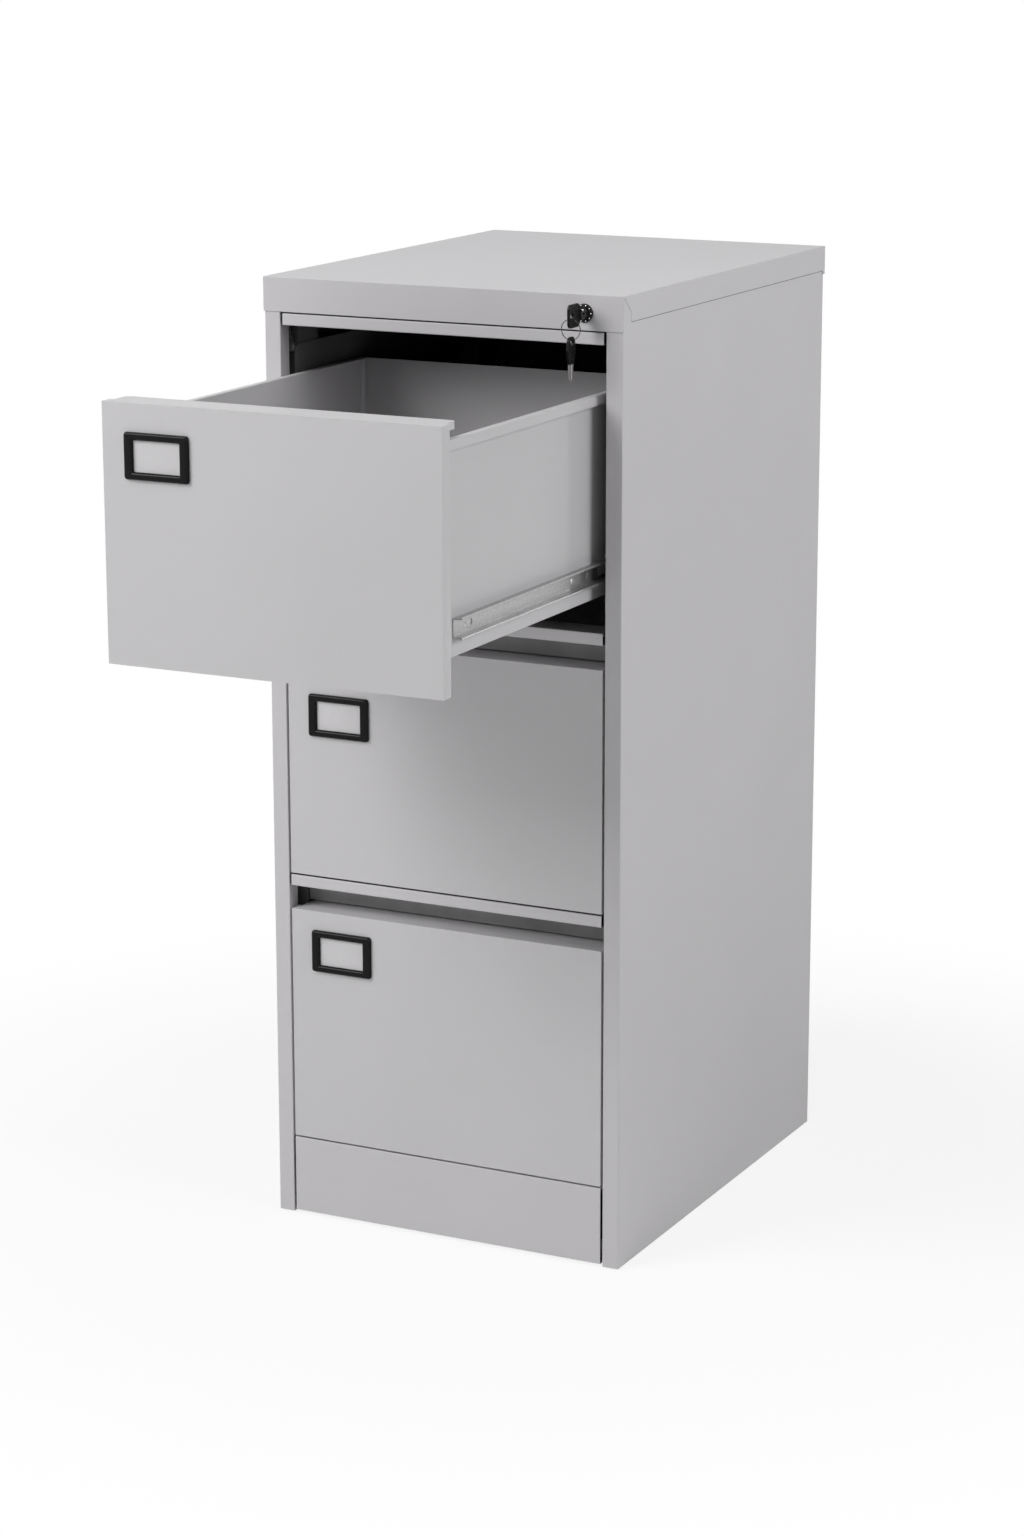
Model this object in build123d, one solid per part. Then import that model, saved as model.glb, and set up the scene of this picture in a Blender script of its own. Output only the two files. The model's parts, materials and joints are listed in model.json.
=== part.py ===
from build123d import *
from math import asin, cos, degrees, pi, radians, sin
import os

os.makedirs("parts", exist_ok=True)

# Lengths are in millimetres. X is to the right, Y to the back and Z up. The origin is on the floor under
# the middle of the carcass. Places along Y are given as the distance behind the carcass's front face.

# Carcass
carcass_width = 400.0
carcass_depth = 512.0
sheet = 1.0
panel_lift = 1.5
post_width = 18.0
post_return = 17.0
rear_return = 15.0
front_side_gap = 2.5
plinth_lift = 3.5
plinth_height = 82.5
rail_height = 12.0
rail_depth = 36.0
rail_notch_width = 11.0
rail_notch_start = 14.0
brace_height = 40.0
brace_drop = 18.0
brace_start = 21.0
brace_corner = 8.0

# Cover
cover_lip = 35.0
cover_gap = 1.5
cover_return = 15.0
cover_side_lip = 26.0
cover_rear_lip = 30.0
cover_rear_gap = 2.0
cover_rear_wrap = 5.0
cover_tab = 16.5
cover_slit = 0.6

# Base and glides
pan_height = 14.0
pan_front = 18.0
pan_flange = 10.0
glide_pad_radius = 11.0
glide_pad_height = 5.0
glide_neck_radius = 6.0
glide_inset = 30.0
glide_end_inset = 52.0
stud_radius = 4.0
stud_rise = 11.0
nut_height = 6.5
nut_radius = 7.5

# Uprights
upright_sheet = 1.2
upright_width = 21.0
upright_depth = 40.0
front_upright_y = 30.0
rear_upright_gap = 42.0
upright_lift = 26.0
upright_top_gap = 3.5
slot_pitch = 50.0
slot_width = 4.0
slot_length = 14.0

# Drawers
drawer_count = 3
front_height = 251.0
front_gap_below = 2.0
finger_gap = 25.0
top_finger_gap = 32.5
front_return = 15.0
front_top_depth = 38.0
front_top_inset = 4.0
front_top_lip = 7.0
front_top_radius = 8.0
box_lift = 30.0
box_drop = 17.0
box_back_gap = 26.0
rim_width = 6.5
rim_height = 10.0
back_tab = 14.0
weld_tab = 8.0
weld_tab_margin = 46.0
top_drawer_open = 338.0

# Label frames
label_width = 70.0
label_height = 45.0
label_window_width = 51.0
label_window_height = 30.0
label_depth = 4.0
label_corner = 3.0
label_left_gap = 24.5
label_drops = (27.0, 56.0, 20.0)
card_margin = 4.5
card_thickness = 0.4
card_clearance = 0.2

# Runners
runner_space = 12.7
runner_sheet = 1.2
runner_rise = 18.0
runner_height = 19.0
runner_flange = 10.0
cabinet_flange = 9.8
runner_lip = 1.2
drawer_runner_setback = 15.0
ball_diameter = 3.5
ball_play = 0.05
ball_pitch = 14.0
balls_per_row = 6
cage_sheet = 0.6
cage_arm = 0.8
cage_length = 90.0
cage_clearance = 0.3
cage_arm_gap = 0.8
cage_hole_play = 0.1
runner_hole_radius = 3.0
runner_hole_inset = 35.0
rivet_inset = 250.0
rivet_radius = 3.5
rivet_height = 0.8
runner_slot_inset = 283.0
runner_window_inset = 307.0
runner_window_length = 24.0
runner_window_height = 10.0
runner_slot_width = 2.5
runner_slot_length = 7.0

# Lock
lock_side_inset = 41.0
lock_height_below_top = 18.0
bezel_radius = 9.25
bezel_depth = 3.0
barrel_radius = 8.0
barrel_depth = 22.0
lock_nut_radius = 11.0
lock_nut_depth = 4.0
plug_radius = 5.45
plug_play = 0.05
plug_proud = 0.3
tail_radius = 3.5
tail_nut_radius = 4.2
tail_nut_depth = 2.8
cam_thickness = 2.0
crank_thickness = 2.0
cam_gap = 0.2
cam_radius = 14.0
cam_half_width = 4.2
cam_hub_radius = 6.0
cam_swing = 90.0
pin_radius = 1.6
pin_play = 0.6
rod_height = 12.0
rod_thickness = 2.5
rod_gap = 0.8
rod_rise = 1.0
rod_end = 4.0
rod_reach = 13.0
guide_half_length = 7.0
guide_wall = 2.2
guide_play = 0.3
guide_x = 80.0
crank_inset = 16.0
crank_arm = 44.5
crank_short_arm = 11.0
crank_half_width = 3.0
crank_hub_radius = 4.0
pivot_radius = 2.0
pivot_play = 0.05
pivot_head_radius = 3.5
pivot_head_depth = 1.2
bar_thickness = 1.5
bar_gap = 0.5
bar_inset = 3.0
bar_width = 10.0
bar_top_inset = 1.2
bar_top_width = 9.8
bar_top_height = 20.0
bar_bottom = 120.0
bar_slot_rise = 0.5
hook_height = 6.0
hook_play = 2.0
hook_reach = 17.0
strike_drop = 52.0
strike_height = 8.0
strike_gap = 3.5
strike_thickness = 2.0
strike_reach = 8.2
bar_guide_height = 12.0

# Keys
key_thickness = 2.6
head_length = 24.0
head_width = 23.0
head_corner = 5.0
neck_length = 3.0
neck_width = 10.0
blade_length = 16.0
blade_width = 8.0
blade_thickness = 2.2
blade_shown = 6.0
bit_depth = 1.6
bit_pitch = 3.5
keyway_play = 0.2
key_hole_radius = 3.5
key_hole_inset = 6.0
ring_radius = 10.0
ring_wire_radius = 0.7
ring_play = 0.15

# Rivets of the back panel and screws of the cover
rivet_pitch = 130.0
rivet_edge = 7.0
back_rivet_radius = 2.4
back_rivet_head_radius = 4.2
back_rivet_head = 1.2
screw_radius = 2.0
screw_head_radius = 4.0
screw_head = 2.2
screw_x = 140.0
screw_drop = 16.0

# Heights from the floor up
plinth_top = plinth_lift + plinth_height
drawer_pitch = front_gap_below + front_height + finger_gap + rail_height
lowest_front = plinth_top + front_gap_below
front_bottoms = [lowest_front + drawer_pitch * (drawer_count - 1 - i) for i in range(drawer_count)]
rail_bottoms = [bottom - front_gap_below - rail_height for bottom in front_bottoms[:-1]]
top_rail_bottom = front_bottoms[0] + front_height + top_finger_gap
top_rail_top = top_rail_bottom + rail_height
cover_bottom = top_rail_top + cover_gap
height = cover_bottom + cover_lip
panel_top = height - sheet

# Half widths from the middle outwards
half = carcass_width / 2
skin_half = half - sheet
post_half = half - post_width
front_half = post_half - front_side_gap
bay_half = skin_half - upright_width
box_half = bay_half - runner_space

# Places along Y behind the front face
back_y = carcass_depth - sheet
rear_upright_y = carcass_depth - rear_upright_gap - upright_depth
box_back = carcass_depth - sheet - box_back_gap
inner_front_y = front_return - sheet
front_y = -carcass_depth / 2

# Places of the lock
lock_x = half - lock_side_inset
lock_z = height - lock_height_below_top
cam_y = barrel_depth + cam_gap
cam_side = cam_radius * sin(radians(cam_swing / 2))
cam_drop = cam_radius * cos(radians(cam_swing / 2))
rod_y = cam_y + cam_thickness + rod_gap
rod_bottom = top_rail_top + rod_rise
rod_middle = rod_bottom + rod_height / 2
crank_x = -half + crank_inset + sheet
crank_z = rod_middle - crank_arm
crank_swing = degrees(asin(cam_side / crank_arm))
crank_y = cam_y
bar_y = crank_y - bar_gap - bar_thickness


def block(xs, ys, zs):
    """A box between two limits on each axis."""
    size = Box(xs[1] - xs[0], ys[1] - ys[0], zs[1] - zs[0], align=(Align.MIN, Align.MIN, Align.MIN))
    return Pos(xs[0], front_y + ys[0], zs[0]) * size


def rod_along_y(x, z, radius, ys):
    """A cylinder along Y between two places."""
    return Pos(x, front_y + (ys[0] + ys[1]) / 2, z) * Rot(90, 0, 0) * Cylinder(radius, ys[1] - ys[0])


def rod_along_x(y, z, radius, xs):
    """A cylinder along X between two places."""
    return Pos((xs[0] + xs[1]) / 2, front_y + y, z) * Rot(0, 90, 0) * Cylinder(radius, xs[1] - xs[0])


def rod_along_z(x, y, radius, zs):
    """A cylinder along Z between two places."""
    return Pos(x, front_y + y, (zs[0] + zs[1]) / 2) * Cylinder(radius, zs[1] - zs[0])


def hexagon(radius, length):
    """A hexagonal nut blank standing on the XY plane."""
    return extrude(RegularPolygon(radius, 6), amount=length)


def on_side(shape, side):
    """The shape as drawn for the right, or mirrored for the left."""
    return shape if side > 0 else mirror(shape, about=Plane.YZ)


def group(solids):
    """Separate solids kept together as one node."""
    return Compound(children=[solid for shape in solids for solid in shape.solids()])


def forward(shape, distance):
    """The shape pulled towards the front."""
    return Pos(0, -distance, 0) * shape


def save(shape, name):
    """Write one node."""
    export_step(shape, f"parts/{name}.step")


# Carcass panels

def rivet_heights():
    """Heights of the back panel's rivets, spread evenly under the cover's rear lip."""
    low = panel_lift + rivet_pitch / 2
    high = height - cover_rear_lip - back_rivet_head_radius * 2
    steps = int((high - low) // rivet_pitch)
    return [low + rivet_pitch * i for i in range(steps + 1)]


def rivet_holes(side):
    """Drills for one side's rivets, through the back panel and the side panel's rear return."""
    x = side * (half - rivet_edge)
    ys = (back_y - sheet, carcass_depth)
    return [rod_along_y(x, z, back_rivet_radius, ys) for z in rivet_heights()]


def side_panel(side):
    """Skin with the front post, its inner return and the rear return, bent from one sheet."""
    zs = (panel_lift, panel_top)
    skin = block((skin_half, half), (0, carcass_depth), zs)
    post = block((post_half, half), (0, sheet), zs)
    inner = block((post_half, post_half + sheet), (0, post_return), zs)
    rear = block((half - rear_return, half), (back_y - sheet, back_y), zs)
    return on_side(skin + post + inner + rear, side) - rivet_holes(side)


def cover_slits():
    """Thin gap between the wrapped corner tab and the side flange, with its mitre."""
    corner = cover_lip - (cover_tab + sheet)
    low = height - cover_side_lip - sheet
    bend = cover_bottom + corner
    near = 2 * sheet
    outline = [
        (cover_tab, low), (cover_tab + cover_slit, low), (cover_tab + cover_slit, bend + cover_slit),
        (near, height - near), (near - sheet, height - near), (cover_tab, bend),
    ]
    points = [(y + front_y, z) for y, z in outline]
    cut = extrude(Plane.YZ.offset(half) * Polygon(*points, align=None), amount=sheet)
    return [cut, mirror(cut, about=Plane.YZ)]


def top_cover():
    """Cap with front lip, side flanges, corner tabs and rear lip."""
    outer = half + sheet
    rear = carcass_depth + cover_rear_gap
    body = block((-outer, outer), (-sheet, rear + sheet), (panel_top, height))
    body += block((-outer, outer), (-sheet, 0), (cover_bottom, height))
    return_half = post_half - cover_slit
    body += block((-return_half, return_half), (-sheet, cover_return), (cover_bottom, cover_bottom + sheet))
    body += block((-outer, outer), (rear, rear + sheet), (height - cover_rear_lip, height))
    for side in (-1, 1):
        flange = block((half, outer), (-sheet, rear + sheet), (height - cover_side_lip, height))
        tab = block((half, outer), (-sheet, cover_tab), (cover_bottom, height))
        wrap_front = rear + sheet - cover_rear_wrap
        wrap = block((half, outer), (wrap_front, rear + sheet), (height - cover_rear_lip, height))
        body += on_side(flange + tab + wrap, side)
    body -= cover_slits()
    body -= rod_along_y(lock_x, lock_z, barrel_radius, (-2 * sheet, sheet))
    for x in (-screw_x, screw_x):
        body -= rod_along_y(x, height - screw_drop, screw_radius, (rear, rear + sheet))
    return body


def back_panel():
    """Flat back between the side panels."""
    body = block((-skin_half, skin_half), (back_y, carcass_depth), (panel_lift, panel_top))
    body -= rivet_holes(-1) + rivet_holes(1)
    for x in (-screw_x, screw_x):
        body -= rod_along_y(x, height - screw_drop, screw_radius, (back_y, carcass_depth))
    return body


def glide_places():
    """X and Y of the four glides."""
    x = half - glide_inset
    return [(side * x, y) for side in (-1, 1) for y in (glide_end_inset, carcass_depth - glide_end_inset)]


def base_pan():
    """Floor tray with up-turned flanges on all four sides."""
    ys = (pan_front, back_y - sheet)
    low = (pan_height, pan_height + sheet)
    rise = (pan_height, pan_height + pan_flange)
    body = block((-skin_half, skin_half), ys, low)
    body += block((-skin_half, skin_half), (ys[0], ys[0] + sheet), rise)
    body += block((-skin_half, skin_half), (ys[1] - sheet, ys[1]), rise)
    for side in (-1, 1):
        body += on_side(block((skin_half - sheet, skin_half), ys, rise), side)
    for x, y in glide_places():
        body -= rod_along_z(x, y, stud_radius, low)
    return body


def plinth_panel():
    """Front kick panel with a deep top flange and a return lip that meets the base pan."""
    body = block((-front_half, front_half), (0, sheet), (plinth_lift, plinth_top))
    body += cross_flange(plinth_top - sheet)
    body += block((-front_half, front_half), (0, pan_front), (plinth_lift, plinth_lift + sheet))
    lip_top = pan_height + pan_flange
    body += block((-front_half, front_half), (pan_front - sheet, pan_front), (plinth_lift, lip_top))
    return body


def cross_flange(z):
    """Horizontal flange of a rail, stepped in at the back where it meets the uprights."""
    wide = block((-front_half, front_half), (0, front_upright_y - sheet), (z, z + sheet))
    narrow = block((-bay_half, bay_half), (0, rail_depth), (z, z + sheet))
    return wide + narrow


def rail(bottom):
    """Front cross rail, a channel open to the back."""
    face = block((-front_half, front_half), (0, sheet), (bottom, bottom + rail_height))
    return face + cross_flange(bottom) + cross_flange(bottom + rail_height - sheet)


def top_rail():
    """Rail under the cover, notched at both ends for the lock's crank."""
    body = rail(top_rail_bottom)
    zs = (top_rail_bottom - sheet, top_rail_top + sheet)
    for side in (-1, 1):
        xs = (front_half - rail_notch_width, front_half)
        body -= on_side(block(xs, (rail_notch_start, front_upright_y - sheet), zs), side)
    return body


# Inner frame

upright_top = top_rail_bottom - upright_top_gap


def upright_slots(y):
    """Hanging slots in an upright's web."""
    count = int((upright_top - upright_lift - slot_pitch) // slot_pitch)
    middle = y + upright_depth / 2
    web = (bay_half, bay_half + upright_sheet)
    slots = []
    for i in range(count + 1):
        low = upright_lift + slot_pitch * (i + 0.5)
        slots.append(block(web, (middle - slot_width / 2, middle + slot_width / 2), (low, low + slot_length)))
    return slots


def upright(side, y):
    """Slotted channel, its web facing the drawers and its flanges on the side panel."""
    zs = (upright_lift, upright_top)
    body = block((bay_half, bay_half + upright_sheet), (y, y + upright_depth), zs)
    body += block((bay_half, skin_half), (y, y + upright_sheet), zs)
    body += block((bay_half, skin_half), (y + upright_depth - upright_sheet, y + upright_depth), zs)
    return on_side(body - upright_slots(y), side)


def side_brace(side):
    """Flat bar across the inner faces of both uprights, its front end rounded."""
    top = upright_top - brace_drop
    low = top - brace_height
    inner = bay_half - upright_sheet
    bar = block((inner, bay_half), (brace_start, rear_upright_y + upright_depth), (low, top))
    front_edges = bar.edges().filter_by(Axis.X).group_by(Axis.Y)[0]
    return on_side(fillet(front_edges, brace_corner), side)


# Runners

def runner_bottom(front_bottom):
    """Height of the drawer member's lower flange."""
    return front_bottom + box_lift + runner_rise


ball_gap = ball_diameter + 2 * ball_play
runner_back = rear_upright_y + upright_depth
drawer_runner_y = front_upright_y + drawer_runner_setback
cage_start = (front_upright_y + runner_back - cage_length) / 2
drawer_reach = box_half + runner_flange
cabinet_reach = bay_half - runner_sheet - cabinet_flange
ball_x = (drawer_reach + cabinet_reach) / 2


def cabinet_runner(side, front_bottom):
    """Fixed outer member on the uprights."""
    low = runner_bottom(front_bottom) - ball_gap
    high = runner_bottom(front_bottom) + runner_height + ball_gap
    ys = (front_upright_y, runner_back)
    body = block((bay_half - runner_sheet, bay_half), ys, (low - runner_sheet, high + runner_sheet))
    for flange, lip in (((low - runner_sheet, low), (low, low + runner_lip)),
                        ((high, high + runner_sheet), (high - runner_lip, high))):
        body += block((cabinet_reach, bay_half), ys, flange)
        body += block((cabinet_reach, cabinet_reach + runner_sheet), ys, lip)
    return on_side(body, side)


def drawer_runner(side, front_bottom):
    """Inner member on the drawer's side, with its pierced and pressed details."""
    low = runner_bottom(front_bottom)
    high = low + runner_height
    start = drawer_runner_y
    ys = (start, runner_back)
    web = (box_half, box_half + runner_sheet)
    body = block(web, ys, (low, high))
    for flange, lip in (((low, low + runner_sheet), (low - runner_lip, low)),
                        ((high - runner_sheet, high), (high, high + runner_lip))):
        body += block((box_half, drawer_reach), ys, flange)
        body += block((drawer_reach - runner_sheet, drawer_reach), ys, lip)
    middle = (low + high) / 2
    body -= rod_along_x(start + runner_hole_inset, middle, runner_hole_radius, web)
    slot_y = start + runner_slot_inset
    slot_z = (middle - runner_slot_length / 2, middle + runner_slot_length / 2)
    across = (slot_y - runner_slot_width / 2, slot_y + runner_slot_width / 2)
    body -= block(web, across, slot_z)
    window_y = start + runner_window_inset
    window_z = (middle - runner_window_height / 2, middle + runner_window_height / 2)
    body -= block(web, (window_y, window_y + runner_window_length), window_z)
    head = (web[1], web[1] + rivet_height)
    body += rod_along_x(start + rivet_inset, middle, rivet_radius, head)
    return on_side(body, side)


def ball_cage(side, front_bottom):
    """Cage with its two rows of balls between the members of one runner."""
    low = runner_bottom(front_bottom)
    high = low + runner_height
    ys = (cage_start, cage_start + cage_length)
    outer = bay_half - runner_sheet - cage_clearance
    arm_start = cabinet_reach + runner_sheet + cage_arm_gap
    rows = (low - ball_gap / 2, high + ball_gap / 2)
    body = block((outer - cage_sheet, outer), ys, (rows[0] - cage_arm / 2, rows[1] + cage_arm / 2))
    for row in rows:
        body += block((arm_start, outer), ys, (row - cage_arm / 2, row + cage_arm / 2))
    first = cage_start + (cage_length - ball_pitch * (balls_per_row - 1)) / 2
    hole_radius = ball_diameter / 2 + cage_hole_play
    balls = []
    for row in rows:
        through = (row - cage_arm, row + cage_arm)
        for i in range(balls_per_row):
            y = first + ball_pitch * i
            body -= rod_along_z(ball_x, y, hole_radius, through)
            balls.append(Pos(ball_x, front_y + y, row) * Sphere(ball_diameter / 2))
    return [on_side(shape, side) for shape in [body] + balls]


# Drawers

def drawer_front(bottom):
    """Front pan with side and bottom returns and a deep top flange that is the grip."""
    top = bottom + front_height
    body = block((-front_half, front_half), (0, sheet), (bottom, top))
    body += block((-front_half, front_half), (0, front_return), (bottom, bottom + sheet))
    body += block((-front_half, front_half), (0, front_return), (top - sheet, top))
    for side in (-1, 1):
        body += on_side(block((front_half - sheet, front_half), (0, front_return), (bottom, top)), side)
    return body + grip(top)


def grip(top):
    """Deep part of the top flange, with rounded rear corners and a lip turned down round its edge."""
    width = 2 * (front_half - front_top_inset)
    middle = Pos(0, front_y + front_top_depth / 2, top - front_top_lip)
    outline = RectangleRounded(width, front_top_depth, front_top_radius)
    inner = RectangleRounded(width - 2 * sheet, front_top_depth - 2 * sheet, front_top_radius - sheet)
    solid = extrude(middle * outline, amount=front_top_lip)
    solid -= extrude(middle * inner, amount=front_top_lip - sheet)
    ahead = block((-front_half, front_half), (-sheet, front_return), (top - 2 * front_top_lip, top - sheet))
    return solid - ahead


def drawer_inner_front(bottom):
    """Panel that closes the back of the front pan."""
    across = front_half - sheet
    zs = (bottom + sheet, bottom + front_height - sheet)
    return block((-across, across), (inner_front_y, front_return), zs)


def strike(bottom):
    """Tab on the drawer's left side that the locking bar's hook holds back."""
    z = strike_bottom(bottom)
    y = bar_y + bar_thickness + strike_gap
    xs = (-box_half - strike_reach, -box_half)
    return block(xs, (y, y + strike_thickness), (z, z + strike_height))


def strike_bottom(bottom):
    """Height of a drawer's strike tab."""
    return bottom + front_height - box_drop - strike_drop - strike_height


def drawer_body(bottom):
    """Sides and floor of the box, bent from one sheet, with rolled rims, welding tabs and the strike."""
    low = bottom + box_lift
    high = bottom + front_height - box_drop
    ys = (front_return, box_back)
    body = block((-box_half, box_half), ys, (low, low + sheet))
    for side in (-1, 1):
        wall = block((box_half - sheet, box_half), ys, (low, high))
        outer = box_half + rim_width
        rim = block((box_half - sheet, outer), ys, (high - sheet, high))
        rim += block((outer - sheet, outer), ys, (high - rim_height, high))
        tab_z = (low + weld_tab_margin, high - rim_height - sheet)
        tab = block((box_half - sheet, box_half + weld_tab), (front_return, front_return + sheet), tab_z)
        body += on_side(wall + rim + tab, side)
    return body + strike(bottom)


def drawer_back(bottom):
    """Rear panel of the box with forward tabs inside its sides."""
    low = bottom + box_lift
    high = bottom + front_height - box_drop
    body = block((-box_half, box_half), (box_back, box_back + sheet), (low, high))
    inside = box_half - sheet
    for side in (-1, 1):
        tab_z = (low + sheet, high - sheet)
        tab = block((inside - sheet, inside), (box_back - back_tab, box_back + sheet), tab_z)
        body += on_side(tab, side)
    return body


def label_place(index):
    """Left edge and top edge of a drawer's label frame."""
    return -front_half + label_left_gap, front_bottoms[index] + front_height - label_drops[index]


def label_frame(index):
    """Frame with a window and a pocket behind it for the card."""
    left, top = label_place(index)
    middle = Plane.XZ.offset(-front_y) * Pos(left + label_width / 2, top - label_height / 2)
    body = extrude(middle * RectangleRounded(label_width, label_height, label_corner), amount=label_depth)
    front_edges = body.faces().sort_by(Axis.Y)[0].edges()
    body = chamfer(front_edges, label_corner / 2)
    window = Rectangle(label_window_width, label_window_height)
    body -= extrude(middle * window, amount=label_depth)
    pocket_width = label_window_width + 2 * card_margin + 2 * card_clearance
    pocket_height = label_window_height + 2 * card_margin + 2 * card_clearance
    pocket = Rectangle(pocket_width, pocket_height)
    body -= extrude(middle * pocket, amount=card_thickness + card_clearance)
    return body


def label_card(index):
    """Blank card in the frame's pocket."""
    left, top = label_place(index)
    x = left + label_width / 2
    z = top - label_height / 2
    across = label_window_width / 2 + card_margin
    up = label_window_height / 2 + card_margin
    return block((x - across, x + across), (-card_thickness, 0), (z - up, z + up))


# Lock

def lock_housing():
    """Barrel through the cover's lip with a round bezel."""
    body = rod_along_y(lock_x, lock_z, barrel_radius, (-sheet, barrel_depth))
    bezel = rod_along_y(lock_x, lock_z, bezel_radius, (-sheet - bezel_depth, -sheet))
    rim = bezel.faces().sort_by(Axis.Y)[0].edges()
    body += fillet(rim, bezel_depth / 2)
    bore = (-2 * sheet - bezel_depth, barrel_depth + sheet)
    return body - rod_along_y(lock_x, lock_z, plug_radius + plug_play, bore)


def keyway_start():
    """Front face of the plug."""
    return -sheet - bezel_depth - plug_proud


def lock_plug():
    """Turning plug with its keyway, its tail through the cam and the tail's nut."""
    face = keyway_start()
    body = rod_along_y(lock_x, lock_z, plug_radius, (face, barrel_depth))
    cam_back = cam_y + cam_thickness
    body += rod_along_y(lock_x, lock_z, tail_radius, (barrel_depth, cam_back))
    body += rod_along_y(lock_x, lock_z, tail_nut_radius, (cam_back, cam_back + tail_nut_depth))
    wide = blade_thickness / 2 + keyway_play
    tall = blade_width / 2 + keyway_play
    depth = blade_length - blade_shown + keyway_play
    slot = block((lock_x - wide, lock_x + wide), (face - sheet, face + depth), (lock_z - tall, lock_z + tall))
    return body - slot


def lever(x0, z0, x1, z1, half_width, y, thickness):
    """Flat bar with round ends between two points."""
    length = ((x1 - x0) ** 2 + (z1 - z0) ** 2) ** 0.5
    along = ((x1 - x0) / length, 0, (z1 - z0) / length)
    plane = Plane(origin=(x0, front_y + y, z0), x_dir=along, z_dir=(0, 1, 0))
    bar = Pos(length / 2, 0) * Rectangle(length, 2 * half_width)
    shape = bar + Circle(half_width) + Pos(length, 0) * Circle(half_width)
    return extrude(plane * shape, amount=thickness)


def lock_cam():
    """Cam on the plug's tail with the pin that drives the rod."""
    pin_x = lock_x - cam_side
    pin_z = lock_z - cam_drop
    body = lever(lock_x, lock_z, pin_x, pin_z, cam_half_width, cam_y, cam_thickness)
    back = cam_y + cam_thickness
    body += rod_along_y(lock_x, lock_z, cam_hub_radius, (cam_y, back))
    body += rod_along_y(pin_x, pin_z, pin_radius, (back, rod_y + rod_thickness + rod_gap / 2))
    return body - rod_along_y(lock_x, lock_z, tail_radius, (cam_y - sheet, back + sheet))


def crank_pin():
    """Place of the crank's upper pin at rest."""
    turn = radians(crank_swing)
    return crank_x - crank_arm * sin(turn), crank_z + crank_arm * cos(turn)


def lock_rod():
    """Flat rod behind the cover's lip, with a slot for the cam's pin and one for the crank's."""
    drive_x = lock_x - cam_side
    crank_pin_x, crank_pin_z = crank_pin()
    xs = (crank_pin_x - rod_end, lock_x + rod_reach)
    ys = (rod_y, rod_y + rod_thickness)
    body = block(xs, ys, (rod_bottom, rod_bottom + rod_height))
    wide = pin_radius + pin_play
    through = (rod_y - sheet, rod_y + rod_thickness + sheet)
    low = lock_z - cam_radius - pin_radius - pin_play / 2
    high = lock_z - cam_drop + pin_radius + pin_play / 2
    body -= block((drive_x - wide, drive_x + wide), through, (low, high))
    fall = crank_arm * (1 - cos(radians(crank_swing)))
    tall = pin_radius + pin_play / 2
    slot = (crank_pin_z - tall, crank_pin_z + fall + tall)
    body -= block((crank_pin_x - wide, crank_pin_x + wide), through, slot)
    return body


def lock_crank():
    """Bell crank that turns the rod's stroke into the bar's lift."""
    back = crank_y + crank_thickness
    body = lever(crank_x, crank_z, crank_x, crank_z + crank_arm, crank_half_width, crank_y, crank_thickness)
    side_x = crank_x - crank_short_arm
    body += lever(crank_x, crank_z, side_x, crank_z, crank_half_width, crank_y, crank_thickness)
    body += rod_along_y(crank_x, crank_z, crank_hub_radius, (crank_y, back))
    upper_end = rod_y + rod_thickness + rod_gap / 2
    body += rod_along_y(crank_x, crank_z + crank_arm, pin_radius, (back, upper_end))
    body += rod_along_y(side_x, crank_z, pin_radius, (bar_y - rod_gap / 2, crank_y))
    body -= rod_along_y(crank_x, crank_z, pivot_radius + pivot_play, (crank_y - sheet, back + sheet))
    pivot = Axis((crank_x, front_y, crank_z), (0, 1, 0))
    return body.rotate(pivot, -crank_swing)


def bar_pin():
    """Place of the crank's side pin at rest."""
    turn = radians(crank_swing)
    return crank_x - crank_short_arm * cos(turn), crank_z - crank_short_arm * sin(turn)


def hook_top(bottom):
    """Height of the hook under a drawer's strike."""
    return strike_bottom(bottom) - hook_play


def lock_bar():
    """Vertical locking bar with one hook for each drawer."""
    pin_x, pin_z = bar_pin()
    ys = (bar_y, bar_y + bar_thickness)
    shoulder = pin_z - bar_top_height / 2
    left = -skin_half + bar_inset
    body = block((left, left + bar_width), ys, (bar_bottom, shoulder))
    top_left = -skin_half + bar_top_inset
    top = (shoulder - sheet, shoulder + bar_top_height)
    body += block((top_left, top_left + bar_top_width), ys, top)
    for bottom in front_bottoms:
        high = hook_top(bottom)
        body += block((left, left + bar_width + hook_reach), ys, (high - hook_height, high))
    travel = crank_short_arm * (1 - cos(radians(crank_swing)))
    near = pin_radius + pin_play / 2
    tall = pin_radius + bar_slot_rise
    slot_x = (pin_x - travel - near, pin_x + near)
    body -= block(slot_x, (bar_y - sheet, bar_y + bar_thickness + sheet), (pin_z - tall, pin_z + tall))
    return body


def rod_guide(x):
    """Bridge on the top rail that the rod slides through."""
    ys = (rod_y - guide_wall, rod_y + rod_thickness + guide_wall)
    body = block((x - guide_half_length, x + guide_half_length), ys,
                 (top_rail_top, rod_bottom + rod_height + guide_wall))
    slot_y = (rod_y - guide_play, rod_y + rod_thickness + guide_play)
    slot_z = (rod_bottom - guide_play, rod_bottom + rod_height + guide_play)
    return body - block((x - 2 * guide_half_length, x + 2 * guide_half_length), slot_y, slot_z)


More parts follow.
